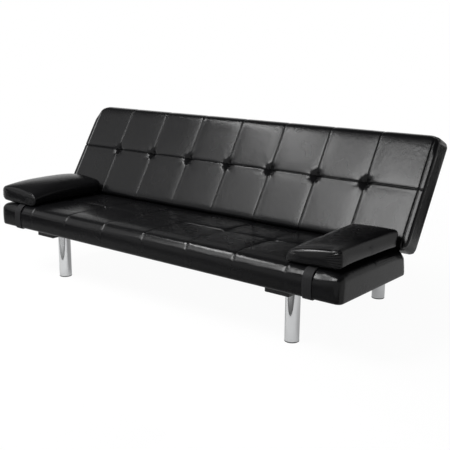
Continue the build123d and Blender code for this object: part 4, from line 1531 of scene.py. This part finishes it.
@dataclass
class Studio:
    """The white floor, the pale walls round it, the sheets of painted shade, the lamps and the camera."""

    floor_half: float = 30.0
    paper: str = "#f2f2f2"
    white: str = "#ffffff"
    shadow_from: float = 0.5
    far_limit: float = 100.0
    floor_white: float = 0.95
    shadow_reach: float = 2.6
    mirrored_white: float = 0.35
    mirrored_reach: float = 1.3
    wall_level: float = 1.0
    ceiling_level: float = 0.10
    wall_top: float = 0.28
    ceiling_from: float = 0.62
    eye: tuple[float, float, float] = (1.9168, -2.2527, 0.9497)
    heading: float = math.radians(-37.306)
    pitch: float = math.radians(13.682)
    roll: float = math.radians(0.99)
    focal_pixels: float = 775.27
    frame_pixels: float = 450.0
    centre_pixel: tuple[float, float] = (249.57, 233.36)
    sensor: float = 36.0

    def floor(self) -> None:
        """Lay a white floor that keeps a soft shadow, fainter to the camera than in film and chrome."""
        half = self.floor_half
        points = np.array([(-half, -half, 0.0), (half, -half, 0.0), (half, half, 0.0), (-half, half, 0.0)])
        piece = make_piece("studio_floor", points, np.array([[0, 1, 2, 3]]))
        made = bpy.data.materials.new("paper_backdrop_white")
        made.use_nodes = True
        tree = made.node_tree
        tree.nodes.clear()
        ray = add_node(tree, "ShaderNodeLightPath")
        mirrored = add_node(tree, "ShaderNodeMath", {
            0: ray.outputs["Is Glossy Ray"], 1: ray.outputs["Is Transmission Ray"]}, operation="MAXIMUM")
        place = add_node(tree, "ShaderNodeTexCoord").outputs["Object"]
        away = add_node(tree, "ShaderNodeVectorMath", {0: place}, operation="LENGTH")
        shares = []
        for seen, least, reach in ((ray.outputs["Is Camera Ray"], self.floor_white, self.shadow_reach),
                                   (mirrored.outputs["Value"], self.mirrored_white, self.mirrored_reach)):
            white_share = add_node(tree, "ShaderNodeMapRange", {
                "Value": away.outputs["Value"], "From Min": self.shadow_from, "From Max": reach,
                "To Min": least, "To Max": 1.0})
            shares.append(add_node(tree, "ShaderNodeMath", {
                0: seen, 1: white_share.outputs["Result"]}, operation="MULTIPLY"))
        share = add_node(tree, "ShaderNodeMath", {
            0: shares[0].outputs["Value"], 1: shares[1].outputs["Value"]}, operation="MAXIMUM")
        paper = add_node(tree, "ShaderNodeBsdfDiffuse", {"Color": linear(self.paper)})
        white = add_node(tree, "ShaderNodeEmission", {"Color": linear(self.white), "Strength": 1.0})
        mixed = add_node(tree, "ShaderNodeMixShader", {
            "Fac": share.outputs["Value"], 1: paper.outputs["BSDF"], 2: white.outputs["Emission"]})
        add_node(tree, "ShaderNodeOutputMaterial", {"Surface": mixed.outputs["Shader"]})
        piece.data.materials.append(made)

    def walls(self) -> None:
        """Surround the floor with white walls under a dark ceiling, by how high each direction points."""
        world = bpy.data.worlds.new("studio_walls")
        world.use_nodes = True
        tree = world.node_tree
        tree.nodes.clear()
        towards = add_node(tree, "ShaderNodeTexCoord").outputs["Generated"]
        split = add_node(tree, "ShaderNodeSeparateXYZ", {"Vector": towards})
        level = add_node(tree, "ShaderNodeMapRange", {
            "Value": split.outputs["Z"], "From Min": self.wall_top, "From Max": self.ceiling_from,
            "To Min": self.wall_level, "To Max": self.ceiling_level}, interpolation_type="SMOOTHSTEP")
        light = add_node(tree, "ShaderNodeBackground", {
            "Color": linear(self.white), "Strength": level.outputs["Result"]})
        add_node(tree, "ShaderNodeOutputWorld", {"Surface": light.outputs["Background"]})
        bpy.context.scene.world = world

    def camera(self) -> None:
        """Set the camera where the photograph was taken from."""
        lens = bpy.data.cameras.new("photo_camera")
        lens.sensor_width = self.sensor
        lens.lens = self.focal_pixels / self.frame_pixels * self.sensor
        lens.shift_x = (self.frame_pixels / 2 - self.centre_pixel[0]) / self.frame_pixels
        lens.shift_y = (self.centre_pixel[1] - self.frame_pixels / 2) / self.frame_pixels
        lens.clip_end = self.far_limit
        holder = bpy.data.objects.new("photo_camera", lens)
        ahead = Vector((math.sin(self.heading) * math.cos(self.pitch),
                        math.cos(self.heading) * math.cos(self.pitch), -math.sin(self.pitch)))
        turn = ahead.to_track_quat("-Z", "Y").to_matrix().to_4x4() @ Matrix.Rotation(self.roll, 4, "Z")
        holder.matrix_world = Matrix.Translation(self.eye) @ turn
        bpy.context.scene.collection.objects.link(holder)
        bpy.context.scene.camera = holder

    def build(self) -> None:
        """Set up the whole studio."""
        self.floor()
        for board in SHADE_BOARDS:
            board.build()
        self.walls()
        self.camera()
        for lamp in LAMPS:
            lamp.build()
        bpy.context.scene.view_settings.view_transform = "Standard"


def finish_solids() -> None:
    """Give every solid that stays the finish of its material slot."""
    for node in frame["nodes"].values():
        for slot in node.material_slots:
            finish = SLOT_FINISHES.get(slot.material.name)
            if finish:
                slot.material = finish.material()


def main() -> None:
    """Build the sofa bed's soft pieces, finish its solids and set up the studio."""
    logging.basicConfig(level=logging.INFO, format="%(message)s")
    finish_solids()
    quilt = Inflation(pressure=1.0, slack=0.0, gather=0.035, cap=2 * MM)
    firm = Inflation(pressure=1.0, slack=0.0, gather=0.035, cap=1.3 * MM, smoothing=8)
    plump = Inflation(pressure=2.0, slack=0.001, gather=0.04, cap=3.5 * MM)
    soft_pieces = [
        SeatCushion(
            name="seat_cushion", body="base", nodes=("seat_cover", "seat_foam"), length=1640 * MM,
            near=-369.6 * MM, far=64.4 * MM, bottom=205 * MM, top=288 * MM, near_round=32 * MM,
            far_round=34 * MM, end_round=18 * MM, near_bulge=3 * MM, far_bulge=1 * MM, tuft_level=2 * MM,
            tuft_width=24 * MM, droop=0.0, seed=5, inflation=quilt, seam_bulge=0.8,
            edge_pull=1.7 * MM),
        BackCushion(
            name="back_cushion", body="backrest", nodes=("back_cover", "back_foam"), length=1680 * MM,
            near=76.4 * MM, far=492.4 * MM, bottom=216 * MM, top=291 * MM, near_round=9 * MM,
            far_round=28 * MM, end_round=5 * MM, near_bulge=1 * MM, far_bulge=2 * MM, tuft_level=-10 * MM,
            tuft_width=34 * MM, droop=4 * MM, seed=8, inflation=firm, corner_round=12 * MM,
            corner_low=12 * MM, crown=10 * MM, seam_level=8.8 * MM, mid_level=8.0 * MM,
            near_width=20 * MM, far_width=50 * MM, edge_share=0.75, end_share=1.0, edge_pull=0.8 * MM,
            groove_depth=2.0 * MM, lap_height=0.8 * MM, border_inset=19 * MM, lip_height=1.5 * MM),
        ArmPillow(
            side=Side.RIGHT, tilt=math.radians(2.3), turn=math.radians(1.5), lean=22 * MM,
            front_drop=20 * MM, front_sag=4 * MM, crown=6 * MM, inflation=plump),
        ArmPillow(
            side=Side.LEFT, tilt=math.radians(1.5), turn=0.0, lean=-10 * MM, front_drop=15 * MM,
            front_sag=9 * MM, crown=21 * MM, inflation=plump, edge=58 * MM, long_round=18 * MM),
        PillowStrap(side=Side.RIGHT, over="seat_cushion"),
        PillowStrap(side=Side.LEFT, over="seat_cushion"),
        LiningPanel(
            name="seat_lining", node="seat_dust_cover", body="base",
            rests_on=("seat_front_rail", "seat_rear_rail"), half_length=784 * MM, near=-349.6 * MM,
            far=44.4 * MM, bottom=204.2 * MM, top=205 * MM),
        LiningPanel(
            name="back_lining", node="back_rear_panel", body="backrest",
            rests_on=("back_upper_rail", "back_lower_rail"), half_length=804 * MM, near=96.4 * MM,
            far=472.4 * MM, bottom=214.9 * MM, top=216 * MM, raised=True),
    ]
    for maker in soft_pieces:
        piece = maker.build()
        log.info("%s: %d faces", piece.name, len(piece.data.polygons))
    Studio().build()


if __name__ == "__main__":
    main()
